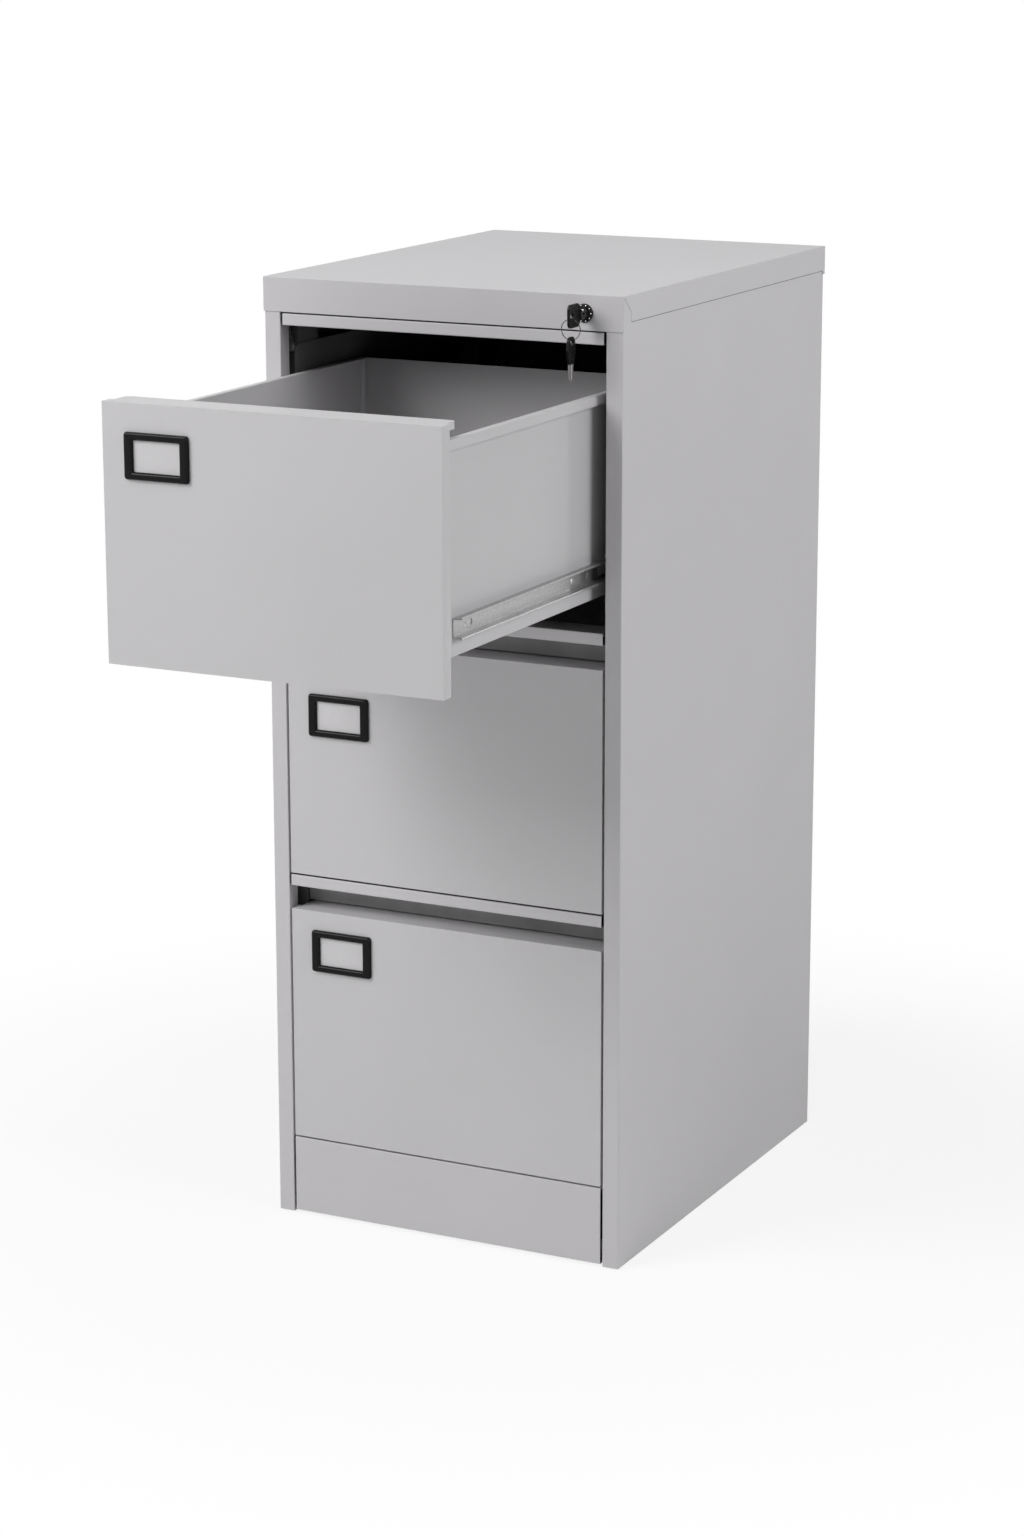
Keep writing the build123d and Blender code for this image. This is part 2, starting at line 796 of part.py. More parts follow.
def bar_guide(z):
    """Block on the front upright that the locking bar slides through."""
    left = -skin_half + bar_inset
    xs = (left - guide_wall, left + bar_width + guide_wall)
    body = block(xs, (bar_y - guide_wall + guide_play, front_upright_y), (z, z + bar_guide_height))
    slot_x = (left - guide_play, left + bar_width + guide_play)
    slot_y = (bar_y - guide_play, bar_y + bar_thickness + guide_play)
    return body - block(slot_x, slot_y, (z - sheet, z + bar_guide_height + sheet))


def crank_pivot():
    """Spacer on the front upright, with the pin and head that carry the crank."""
    back = crank_y + crank_thickness + guide_play
    body = rod_along_y(crank_x, crank_z, crank_hub_radius, (back, front_upright_y))
    head = crank_y - guide_play
    body += rod_along_y(crank_x, crank_z, pivot_radius, (head - pivot_head_depth, front_upright_y))
    body += rod_along_y(crank_x, crank_z, pivot_head_radius, (head - pivot_head_depth, head))
    return body


def bar_guide_places():
    """Heights of the bar's guides, below the hooks of each drawer."""
    drop = hook_height + 2 * bar_guide_height
    return [hook_top(bottom) - drop for bottom in front_bottoms]


def lock_guides():
    """All the fixed guides of the lock's linkage."""
    guides = [rod_guide(-guide_x), rod_guide(guide_x), crank_pivot()]
    guides += [bar_guide(z) for z in bar_guide_places()]
    return group(guides)


# Keys and ring

def flat_key():
    """A key pointing up, with its head's hole at the origin, in the YZ plane."""
    reach = head_length - key_hole_inset
    head = Pos(0, (reach - key_hole_inset) / 2) * RectangleRounded(head_width, head_length, head_corner)
    neck = Pos(0, reach + neck_length / 2) * Rectangle(neck_width, neck_length)
    plane = Plane(origin=(-key_thickness / 2, 0, 0), x_dir=(0, 1, 0), z_dir=(1, 0, 0))
    grip = extrude(plane * (head + neck), amount=key_thickness)
    tip = reach + neck_length + blade_length
    blade_face = Plane(origin=(-blade_thickness / 2, 0, 0), x_dir=(0, 1, 0), z_dir=(1, 0, 0))
    start = tip - blade_length - neck_length / 2
    outline = Polygon(
        (-blade_width / 2, start), (blade_width / 2, start), (blade_width / 2, tip - blade_width / 2),
        (0, tip), (-blade_width / 2, tip - blade_width / 2), align=None)
    blade = extrude(blade_face * outline, amount=blade_thickness)
    cuts = int((blade_length - blade_width) // bit_pitch)
    for i in range(cuts):
        z = tip - blade_width / 2 - bit_pitch * (i + 0.5)
        blade -= Pos(0, blade_width / 2, z) * Rot(45, 0, 0) * Box(2 * blade_thickness, bit_depth, bit_depth)
    hole = Rot(0, 90, 0) * Cylinder(key_hole_radius, 2 * key_thickness)
    return grip + blade - hole


key_hole_y = (keyway_start() - blade_shown - neck_length - head_length + key_hole_inset)
ring_top = lock_z - key_hole_radius + ring_wire_radius + ring_play
ring_z = ring_top - ring_radius
spare_hole_z = ring_z - ring_radius + ring_wire_radius + ring_play - key_hole_radius


def key():
    """Key in the lock, its head upright."""
    return Pos(lock_x, front_y + key_hole_y, lock_z) * Rot(-90, 0, 0) * flat_key()


def spare_key():
    """Second key hanging from the ring."""
    return Pos(lock_x, front_y + key_hole_y, spare_hole_z) * Rot(180, 0, 0) * flat_key()


def key_ring():
    """Ring through both keys' holes, facing the front."""
    return Pos(lock_x, front_y + key_hole_y, ring_z) * Rot(90, 0, 0) * Torus(ring_radius, ring_wire_radius)


# Glides and fasteners

def floor_glides():
    """Four nylon glides with studs up through the base pan."""
    glides = []
    for x, y in glide_places():
        pad = rod_along_z(x, y, glide_pad_radius, (0, glide_pad_height))
        neck = rod_along_z(x, y, glide_neck_radius, (glide_pad_height, pan_height))
        stud = rod_along_z(x, y, stud_radius, (pan_height, pan_height + sheet + stud_rise))
        glides.append(pad + neck + stud)
    return group(glides)


def carcass_fasteners():
    """Glide nuts, the lock's nut, the back panel's rivets and the cover's rear screws."""
    pieces = []
    for x, y in glide_places():
        nut = Pos(x, front_y + y, pan_height + sheet) * hexagon(nut_radius, nut_height)
        pieces.append(nut - rod_along_z(x, y, stud_radius, (pan_height, pan_height + 2 * nut_height)))
    lock_nut = Pos(lock_x, front_y + lock_nut_depth, lock_z) * Rot(90, 0, 0)
    lock_nut = lock_nut * hexagon(lock_nut_radius, lock_nut_depth)
    pieces.append(lock_nut - rod_along_y(lock_x, lock_z, barrel_radius, (-sheet, 2 * lock_nut_depth)))
    for side in (-1, 1):
        x = side * (half - rivet_edge)
        for z in rivet_heights():
            shank = rod_along_y(x, z, back_rivet_radius, (back_y - sheet, carcass_depth))
            head_y = (carcass_depth, carcass_depth + back_rivet_head)
            pieces.append(shank + rod_along_y(x, z, back_rivet_head_radius, head_y))
    outer = carcass_depth + cover_rear_gap + sheet
    for x in (-screw_x, screw_x):
        z = height - screw_drop
        shank = rod_along_y(x, z, screw_radius, (back_y, outer))
        pieces.append(shank + rod_along_y(x, z, screw_head_radius, (outer, outer + screw_head)))
    return group(pieces)


# Writing the nodes

sides = {"left": -1, "right": 1}

save(top_cover(), "top_cover")
save(back_panel(), "back_panel")
save(base_pan(), "base_pan")
save(plinth_panel(), "plinth_panel")
save(top_rail(), "top_rail")
for rail_name, rail_bottom in zip(("upper_rail", "lower_rail"), rail_bottoms):
    save(rail(rail_bottom), rail_name)
for side_name, side_sign in sides.items():
    save(side_panel(side_sign), f"side_panel_{side_name}")
    save(upright(side_sign, front_upright_y), f"front_upright_{side_name}")
    save(upright(side_sign, rear_upright_y), f"rear_upright_{side_name}")
    save(side_brace(side_sign), f"side_brace_{side_name}")

for number, front_bottom in enumerate(front_bottoms, start=1):
    opened = top_drawer_open if number == 1 else 0.0
    save(forward(drawer_front(front_bottom), opened), f"drawer_{number}_front")
    save(forward(drawer_inner_front(front_bottom), opened), f"drawer_{number}_inner_front")
    save(forward(drawer_body(front_bottom), opened), f"drawer_{number}_body")
    save(forward(drawer_back(front_bottom), opened), f"drawer_{number}_back")
    save(forward(label_frame(number - 1), opened), f"label_frame_{number}")
    save(forward(label_card(number - 1), opened), f"label_card_{number}")
    cages = []
    for side_name, side_sign in sides.items():
        save(cabinet_runner(side_sign, front_bottom), f"cabinet_runner_{number}_{side_name}")
        moving = forward(drawer_runner(side_sign, front_bottom), opened)
        save(moving, f"drawer_runner_{number}_{side_name}")
        cages += [forward(shape, opened / 2) for shape in ball_cage(side_sign, front_bottom)]
    save(group(cages), f"ball_cages_{number}")

save(lock_housing(), "lock_housing")
save(lock_plug(), "lock_plug")
save(lock_cam(), "lock_cam")
save(lock_rod(), "lock_rod")
save(lock_crank(), "lock_crank")
save(lock_bar(), "lock_bar")
save(lock_guides(), "lock_guides")
save(key(), "key")
save(spare_key(), "spare_key")
save(key_ring(), "key_ring")
save(floor_glides(), "floor_glides")
save(carcass_fasteners(), "carcass_fasteners")
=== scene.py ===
"""Steel filing cabinet with three drawers: finishes, rounded sheet metal, lock details, lights and camera."""

import json
import logging
import math
from collections.abc import Callable, Sequence
from dataclasses import dataclass, field
from enum import Enum

import bmesh
import bpy
from mathutils import Matrix, Vector

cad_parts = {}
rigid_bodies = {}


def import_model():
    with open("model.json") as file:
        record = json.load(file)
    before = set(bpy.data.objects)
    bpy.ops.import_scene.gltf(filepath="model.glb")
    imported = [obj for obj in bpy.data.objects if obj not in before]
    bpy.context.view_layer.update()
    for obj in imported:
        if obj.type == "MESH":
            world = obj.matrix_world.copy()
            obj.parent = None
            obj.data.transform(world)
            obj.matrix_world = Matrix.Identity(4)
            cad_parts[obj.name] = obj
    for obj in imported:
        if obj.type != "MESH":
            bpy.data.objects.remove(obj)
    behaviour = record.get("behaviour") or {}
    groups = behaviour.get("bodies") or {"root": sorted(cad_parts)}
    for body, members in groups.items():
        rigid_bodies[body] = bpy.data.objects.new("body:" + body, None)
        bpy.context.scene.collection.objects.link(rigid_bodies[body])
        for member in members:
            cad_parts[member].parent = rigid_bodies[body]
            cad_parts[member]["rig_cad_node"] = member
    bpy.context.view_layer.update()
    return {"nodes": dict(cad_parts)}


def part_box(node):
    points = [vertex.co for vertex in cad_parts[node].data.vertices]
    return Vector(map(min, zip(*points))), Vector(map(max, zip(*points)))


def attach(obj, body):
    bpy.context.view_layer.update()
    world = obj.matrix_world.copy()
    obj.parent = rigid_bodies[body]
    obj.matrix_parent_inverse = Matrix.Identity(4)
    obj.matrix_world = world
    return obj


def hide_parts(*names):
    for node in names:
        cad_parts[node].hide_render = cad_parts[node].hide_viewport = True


Point = tuple[float, float]
Triple = tuple[float, float, float]
Mesh = bmesh.types.BMesh
Edge = bmesh.types.BMEdge
Socket = bpy.types.NodeSocket
Test = Callable[[Vector, Vector], bool]
Place = Callable[[float, float, float], Vector]

log = logging.getLogger("cabinet")
MM = 0.001
SIDES = {"left": -1, "right": 1}
DRAWERS = (1, 2, 3)
# Plane of the carcass's front edges.
FRONT = -0.256
# Faces that meet at more than this angle get a rounded edge between them.
CORNER = math.radians(50)
# Share of a normal along an axis above which a face looks that way.
FACING = 0.5

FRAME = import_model()


def mm(*values: float) -> tuple[float, ...]:
    """Millimetres turned into metres."""
    return tuple(value * MM for value in values)


# Corners of the key heads, from the middle of the ring hole, each with its radius.
KEY_HEAD = (mm(-11.5, -6.0, 5.0), mm(11.5, -6.0, 5.0), mm(11.5, 18.0, 5.0), mm(5.0, 18.0, 1.0),
            mm(5.0, 21.0, 0.8), mm(-5.0, 21.0, 0.8), mm(-5.0, 18.0, 1.0), mm(-11.5, 18.0, 5.0))
SPARE_HEAD = (mm(-6.6, -5.8, 5.6), mm(6.6, -5.8, 5.6), mm(8.6, 7.0, 4.0), mm(7.8, 13.0, 4.0),
              mm(4.6, 21.0, 0.8), mm(-4.6, 21.0, 0.8), mm(-7.8, 13.0, 4.0), mm(-8.6, 7.0, 4.0))


class Slot(Enum):
    """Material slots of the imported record."""

    CARCASS = "carcass_paint"
    DRAWER = "drawer_paint"
    ZINC = "zinc_steel"
    LINKAGE = "linkage_steel"
    NICKEL = "nickel"
    BLACK = "black_plastic"
    KEY = "key_black"
    CARD = "card"
    NYLON = "nylon"


class NodeGraph:
    """Shader nodes of one material, with helpers that add and link them."""

    def __init__(self, name: str) -> None:
        """Start a material with a shader that reaches its surface.

        Args:
            name: The material's name.
        """
        self.material = bpy.data.materials.new(name)
        self.material.use_nodes = True
        self.tree = self.material.node_tree
        self.tree.nodes.clear()
        self.shader = self.add("ShaderNodeBsdfPrincipled")
        self.surface = self.add("ShaderNodeOutputMaterial").inputs["Surface"]
        self.link(self.shader.outputs["BSDF"], self.surface)
        self.place = self.add("ShaderNodeTexCoord").outputs["Object"]

    def add(self, kind: str, **values: object) -> bpy.types.ShaderNode:
        """Add a node and set its properties.

        Args:
            kind: The node's type name.
            values: Property names and values.

        Returns:
            The new node.
        """
        node = self.tree.nodes.new(kind)
        for key, value in values.items():
            setattr(node, key, value)
        return node

    def link(self, source: Socket, target: Socket) -> None:
        """Join two sockets."""
        self.tree.links.new(source, target)

    def noise(self, scale: float, detail: float = 3.0, roughness: float = 0.5,
              stretch: Triple = (1.0, 1.0, 1.0)) -> Socket:
        """Noise over the object's own coordinates.

        Args:
            scale: Waves per metre.
            detail: Octaves.
            roughness: How strong the finer octaves are.
            stretch: Factor on each axis before the noise.

        Returns:
            The noise value's socket.
        """
        mapping = self.add("ShaderNodeMapping")
        mapping.inputs["Scale"].default_value = stretch
        self.link(self.place, mapping.inputs["Vector"])
        node = self.add("ShaderNodeTexNoise")
        node.inputs["Scale"].default_value = scale
        node.inputs["Detail"].default_value = detail
        node.inputs["Roughness"].default_value = roughness
        self.link(mapping.outputs["Vector"], node.inputs["Vector"])
        return node.outputs["Fac"]

    def tint(self, value: Socket, colour: Triple, dark: float, light: float,
             span: Point = (0.3, 0.7)) -> None:
        """Let a value make the base colour darker and lighter.

        Args:
            value: The driving value.
            colour: Linear colour in between.
            dark: Factor on the colour at the low end.
            light: Factor on the colour at the high end.
            span: Values of the two ends.
        """
        node = self.add("ShaderNodeValToRGB")
        for number, (position, factor) in enumerate(zip(span, (dark, light))):
            stop = node.color_ramp.elements[number]
            stop.position = position
            stop.color = (*(min(1.0, channel * factor) for channel in colour), 1.0)
        self.link(value, node.inputs["Fac"])
        self.link(node.outputs["Color"], self.shader.inputs["Base Color"])

    def roughen(self, value: Socket, low: float, high: float) -> None:
        """Let a value vary the roughness.

        Args:
            value: The driving value, from 0 to 1.
            low: Roughness at 0.
            high: Roughness at 1.
        """
        node = self.add("ShaderNodeMapRange")
        node.inputs["To Min"].default_value = low
        node.inputs["To Max"].default_value = high
        self.link(value, node.inputs["Value"])
        self.link(node.outputs["Result"], self.shader.inputs["Roughness"])

    def bump(self, heights: Sequence[tuple[Socket, float]], strength: float) -> None:
        """Chain bump nodes into the shader's normal.

        Args:
            heights: Pairs of height value and depth in metres.
            strength: Strength of each bump.
        """
        previous = None
        for value, depth in heights:
            node = self.add("ShaderNodeBump")
            node.inputs["Strength"].default_value = strength
            node.inputs["Distance"].default_value = depth
            self.link(value, node.inputs["Height"])
            if previous is not None:
                self.link(previous, node.inputs["Normal"])
            previous = node.outputs["Normal"]
        self.link(previous, self.shader.inputs["Normal"])


@dataclass(frozen=True)
class PowderPaint:
    """Satin powder coat with fine orange peel and faint clouding."""

    name: str
    colour: Triple
    roughness: float = 0.46
    spread: float = 0.05
    ior: float = 1.46
    cloud_scale: float = 5.5
    satin_scale: float = 38.0
    peel_scale: float = 620.0
    peel_depth: float = 0.03 * MM

    def material(self) -> bpy.types.Material:
        """Build the finish.

        Returns:
            The material.
        """
        graph = NodeGraph(self.name)
        graph.tint(graph.noise(self.cloud_scale, detail=4.0), self.colour, dark=0.985, light=1.015)
        satin = graph.noise(self.satin_scale, detail=5.0, roughness=0.6)
        graph.roughen(satin, self.roughness - self.spread, self.roughness + self.spread)
        graph.shader.inputs["IOR"].default_value = self.ior
        graph.bump([(graph.noise(self.peel_scale, detail=1.5), self.peel_depth)], strength=0.55)
        return graph.material


@dataclass(frozen=True)
class PaintedShadeCoat:
    """Dark coat with runs, put as painted shade on the faces that nobody sees and on the strips in the finger
    gaps.
    """

    name: str
    colour: Triple
    roughness: float = 0.7
    spread: float = 0.08
    run_scale: float = 14.0
    run_stretch: Triple = (1.0, 1.0, 0.3)
    grain_scale: float = 500.0
    grain_depth: float = 0.02 * MM

    def material(self) -> bpy.types.Material:
        """Build the finish.

        Returns:
            The material.
        """
        graph = NodeGraph(self.name)
        runs = graph.noise(self.run_scale, detail=5.0, stretch=self.run_stretch)
        graph.tint(runs, self.colour, dark=0.8, light=1.25)
        graph.roughen(runs, self.roughness - self.spread, self.roughness + self.spread)
        graph.bump([(graph.noise(self.grain_scale, detail=2.0), self.grain_depth)], strength=0.5)
        return graph.material


@dataclass(frozen=True)
class ZincPlate:
    """Zinc-plated steel with a speckled bloom, stains and drawing lines along the piece."""

    name: str
    colour: Triple
    roughness: float = 0.36
    smoother: float = 0.1
    rougher: float = 0.16
    metal: float = 0.92
    bloom_scale: float = 420.0
    bloom_depth: float = 0.015 * MM
    stain_scale: float = 60.0
    line_scale: float = 900.0
    line_stretch: Triple = (1.0, 0.02, 1.0)
    line_depth: float = 0.02 * MM

    def material(self) -> bpy.types.Material:
        """Build the finish.

        Returns:
            The material.
        """
        graph = NodeGraph(self.name)
        bloom = graph.noise(self.bloom_scale, detail=6.0, roughness=0.7)
        graph.tint(bloom, self.colour, dark=0.72, light=1.18, span=(0.32, 0.68))
        graph.shader.inputs["Metallic"].default_value = self.metal
        stain = graph.noise(self.stain_scale, detail=5.0)
        graph.roughen(stain, self.roughness - self.smoother, self.roughness + self.rougher)
        lines = graph.noise(self.line_scale, detail=2.0, stretch=self.line_stretch)
        graph.bump([(lines, self.line_depth), (bloom, self.bloom_depth)], strength=0.6)
        return graph.material


@dataclass(frozen=True)
class Moulded:
    """Moulded plastic with a slight grain."""

    name: str
    colour: Triple
    roughness: float
    smoother: float = 0.06
    rougher: float = 0.08
    gloss: float = 0.14
    tone_scale: float = 70.0
    wear_scale: float = 150.0
    grain_scale: float = 900.0
    grain_depth: float = 0.01 * MM

    def material(self) -> bpy.types.Material:
        """Build the finish.

        Returns:
            The material.
        """
        graph = NodeGraph(self.name)
        graph.tint(graph.noise(self.tone_scale, detail=3.0), self.colour, dark=0.85, light=1.2)
        wear = graph.noise(self.wear_scale, detail=4.0)
        graph.roughen(wear, self.roughness - self.smoother, self.roughness + self.rougher)
        graph.shader.inputs["Specular IOR Level"].default_value = self.gloss
        graph.bump([(graph.noise(self.grain_scale, detail=2.0), self.grain_depth)], strength=0.5)
        return graph.material


@dataclass(frozen=True)
class BrightNickel:
    """Polished nickel, clear or blackened, with light handling scratches."""

    name: str
    colour: Triple
    roughness: float = 0.2
    smoother: float = 0.08
    rougher: float = 0.12
    tone_scale: float = 90.0
    scuff_scale: float = 700.0
    scuff_stretch: Triple = (1.0, 0.2, 1.0)
    scuff_depth: float = 0.006 * MM

    def material(self) -> bpy.types.Material:
        """Build the finish.

        Returns:
            The material.
        """
        graph = NodeGraph(self.name)
        graph.tint(graph.noise(self.tone_scale, detail=4.0), self.colour, dark=0.9, light=1.05)
        graph.shader.inputs["Metallic"].default_value = 1.0
        scuff = graph.noise(self.scuff_scale, detail=3.0, stretch=self.scuff_stretch)
        graph.roughen(scuff, self.roughness - self.smoother, self.roughness + self.rougher)
        graph.bump([(scuff, self.scuff_depth)], strength=0.5)
        return graph.material


@dataclass(frozen=True)
class PlainCard:
    """Uncoated card with paper fibres."""

    name: str
    colour: Triple
    roughness: float = 0.8
    fibre_scale: float = 1500.0
    fibre_stretch: Triple = (1.0, 1.0, 0.35)
    fibre_depth: float = 0.01 * MM

    def material(self) -> bpy.types.Material:
        """Build the finish.

        Returns:
            The material.
        """
        graph = NodeGraph(self.name)
        fibre = graph.noise(self.fibre_scale, detail=4.0, stretch=self.fibre_stretch)
        graph.tint(fibre, self.colour, dark=0.97, light=1.02)
        graph.shader.inputs["Roughness"].default_value = self.roughness
        graph.bump([(fibre, self.fibre_depth)], strength=0.5)
        return graph.material


class Finishes:
    """All finishes of the cabinet, one material for each slot and three for special faces, two of them dark
    coats of painted shade.
    """

    def __init__(self) -> None:
        """Build every material once."""
        self.by_slot = {
            Slot.CARCASS: PowderPaint("carcass_powder_paint", (0.515, 0.504, 0.517)).material(),
            Slot.DRAWER: PowderPaint("drawer_powder_paint", (0.515, 0.506, 0.517), 0.45).material(),
            Slot.ZINC: ZincPlate("zinc_runner_steel", (0.43, 0.43, 0.435)).material(),
            Slot.LINKAGE: ZincPlate("zinc_linkage_steel", (0.33, 0.33, 0.34), 0.42).material(),
            Slot.NICKEL: BrightNickel("bright_nickel", (0.62, 0.61, 0.60)).material(),
            Slot.BLACK: Moulded("black_moulded_plastic", (0.0035, 0.0035, 0.004), 0.2).material(),
            Slot.KEY: Moulded("key_head_plastic", (0.0035, 0.0035, 0.004), 0.26).material(),
            Slot.CARD: PlainCard("blank_card", (0.56, 0.55, 0.56)).material(),
            Slot.NYLON: Moulded("nylon_glide", (0.02, 0.02, 0.02), 0.5).material(),
        }
        # Near-black coat that paints the shade on the faces inside the cabinet.
        self.painted_shade = PaintedShadeCoat("inside_painted_shade", (0.09, 0.09, 0.092)).material()
        # Mid-grey coat that paints the shade on the strips in the finger gaps.
        self.gap_shade = PaintedShadeCoat("painted_gap_shade", (0.30, 0.295, 0.30), 0.6).material()
        self.blackened = BrightNickel("blackened_nickel", (0.06, 0.06, 0.062), 0.24).material()

    def dress(self, piece: bpy.types.Object, slot: Slot, special: bpy.types.Material | None = None) -> None:
        """Give a piece one finish.

        Args:
            piece: The Blender object.
            slot: The finish's slot.
            special: A material shown in place of the slot's own.
        """
        piece.data.materials.clear()
        piece.data.materials.append(special or self.by_slot[slot])


def rounded(points: Sequence[Point], radii: float | Sequence[float], steps: int = 5) -> list[Point]:
    """Closed outline with round corners.

    Args:
        points: Corners in order.
        radii: One radius for all corners, or one for each.
        steps: Facets in each corner.

    Returns:
        The outline's points.
    """
    outline = []
    for i, corner in enumerate(points):
        radius = radii if isinstance(radii, float) else radii[i]
        here = Vector(corner)
        back = (Vector(points[i - 1]) - here).normalized()
        ahead = (Vector(points[(i + 1) % len(points)]) - here).normalized()
        inside = back.angle(ahead)
        if radius <= 0.0:
            outline.append((here.x, here.y))
            continue
        centre = here + (back + ahead).normalized() * radius / math.sin(inside / 2)
        first = here + back * radius / math.tan(inside / 2) - centre
        last = here + ahead * radius / math.tan(inside / 2) - centre
        sweep = first.angle(last)
        for k in range(steps + 1):
            part = k / steps
            spoke = (first * math.sin((1 - part) * sweep) + last * math.sin(part * sweep)) / math.sin(sweep)
            outline.append((centre.x + spoke.x, centre.y + spoke.y))
    return outline


def rectangle(width: float, height: float, radius: float, steps: int = 5) -> list[Point]:
    """Rounded rectangle about the origin."""
    u, v = width / 2, height / 2
    return rounded([(-u, -v), (u, -v), (u, v), (-u, v)], radius, steps)


def circle(radius: float, steps: int = 32, centre: Point = (0.0, 0.0)) -> list[Point]:
    """Points round a circle."""
    turns = [2 * math.pi * k / steps for k in range(steps)]
    return [(centre[0] + radius * math.cos(t), centre[1] + radius * math.sin(t)) for t in turns]


def slab(outline: Sequence[Point], span: Point, place: Place) -> Mesh:
    """Solid between two copies of an outline.

    Args:
        outline: Points of the closed outline.
        span: Where the two copies lie on the third axis.
        place: Turns the three local values into a point.

    Returns:
        The solid.
    """
    mesh = bmesh.new()
    first, last = ([mesh.verts.new(place(u, v, w)) for u, v in outline] for w in span)
    mesh.faces.new(first)
    mesh.faces.new(last[::-1])
    for i in range(len(outline)):
        mesh.faces.new((first[i - 1], first[i], last[i], last[i - 1]))
    bmesh.ops.recalc_face_normals(mesh, faces=mesh.faces)
    return mesh


def skin(loops: Sequence[Sequence[Vector]], ring: bool = False) -> Mesh:
    """Skin through loops that have equally many points.

    Args:
        loops: The loops in order.
        ring: Whether the last loop joins the first, or both ends are closed flat.

    Returns:
        The closed skin.
    """
    mesh = bmesh.new()
    rows = [[mesh.verts.new(point) for point in loop] for loop in loops]
    pairs = list(zip(rows, rows[1:]))
    if ring:
        pairs.append((rows[-1], rows[0]))
    else:
        mesh.faces.new(rows[0])
        mesh.faces.new(rows[-1][::-1])
    for near, far in pairs:
        for i in range(len(near)):
            mesh.faces.new((near[i - 1], near[i], far[i], far[i - 1]))
    bmesh.ops.recalc_face_normals(mesh, faces=mesh.faces)
    return mesh


def turned(profile: Sequence[Point], centre: Vector, steps: int = 64, ring: bool = True) -> Mesh:
    """Solid turned about an axis along Y.

    Args:
        profile: Pairs of radius and place behind the centre.
        centre: A point on the axis.
        steps: Facets round the axis.
        ring: Whether the profile is closed.

    Returns:
        The solid.
    """
    loops = [[Vector((centre.x + u, centre.y + depth, centre.z + v)) for u, v in circle(radius, steps)]
             for radius, depth in profile]
    return skin(loops, ring)


def merged(meshes: Sequence[Mesh]) -> Mesh:
    """Put several solids into one mesh.

    Args:
        meshes: The solids, freed afterwards.

    Returns:
        The mesh with all of them.
    """
    whole = bmesh.new()
    for mesh in meshes:
        data = bpy.data.meshes.new("shell")
        mesh.to_mesh(data)
        mesh.free()
        whole.from_mesh(data)
        bpy.data.meshes.remove(data)
    return whole


def carved(mesh: Mesh, cutters: Sequence[Mesh]) -> Mesh:
    """Cut solids out of another.

    Args:
        mesh: The solid, freed afterwards.
        cutters: What is cut out, freed afterwards.

    Returns:
        The cut solid.
    """
    helpers = []
    for number, source in enumerate([mesh, *cutters]):
        data = bpy.data.meshes.new(f"helper_{number}")
        source.to_mesh(data)
        source.free()
        helper = bpy.data.objects.new(f"helper_{number}", data)
        bpy.context.scene.collection.objects.link(helper)
        helpers.append(helper)
    for tool in helpers[1:]:
        cut = helpers[0].modifiers.new("cut", "BOOLEAN")
        cut.operation = "DIFFERENCE"
        cut.solver = "EXACT"
        cut.object = tool
    shaped = bpy.data.meshes.new_from_object(helpers[0].evaluated_get(bpy.context.evaluated_depsgraph_get()))
    result = bmesh.new()
    result.from_mesh(shaped)
    bpy.data.meshes.remove(shaped)
    for helper in helpers:
        data = helper.data
        bpy.data.objects.remove(helper)
        bpy.data.meshes.remove(data)
    return result


def turns_out(edge: Edge) -> bool:
    """Whether two faces meet at an edge in a sharp outer corner."""
    return len(edge.link_faces) == 2 and edge.is_convex and edge.calc_face_angle(0.0) > CORNER


def round_edges(mesh: Mesh, edges: Sequence[Edge], size: float, segments: int) -> None:
    """Round some edges of a solid in place.

    Args:
        mesh: The solid.
        edges: Its edges to round.
        size: How far the rounding reaches from each edge.
        segments: Facets of the rounding.
    """
    if edges:
        bmesh.ops.bevel(mesh, geom=edges, offset=size, segments=segments, profile=0.5, affect="EDGES",
                        clamp_overlap=True)


def corners(node: str) -> tuple[Vector, Vector]:
    """Lowest and highest corner of a CAD node."""
    low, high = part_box(node)
    return Vector(low), Vector(high)


def clean_copy(node: str) -> Mesh:
    """Copy a node's solid with its flat faces merged.

    Args:
        node: Name of the CAD node.

    Returns:
        The copy.
    """
    mesh = bmesh.new()
    mesh.from_mesh(FRAME["nodes"][node].data)
    bmesh.ops.remove_doubles(mesh, verts=mesh.verts, dist=1e-6)
    bmesh.ops.dissolve_limit(mesh, angle_limit=math.radians(0.5), verts=mesh.verts, edges=mesh.edges)
    mesh.normal_update()
    return mesh


def face_width(face: bmesh.types.BMFace) -> float:
    """Area over the longest edge, a measure of how broad a face is."""
    longest = max(edge.calc_length() for edge in face.edges)
    return face.calc_area() / longest


def everywhere(middle: Vector, normal: Vector) -> bool:
    """Test that holds for every face."""
    return True


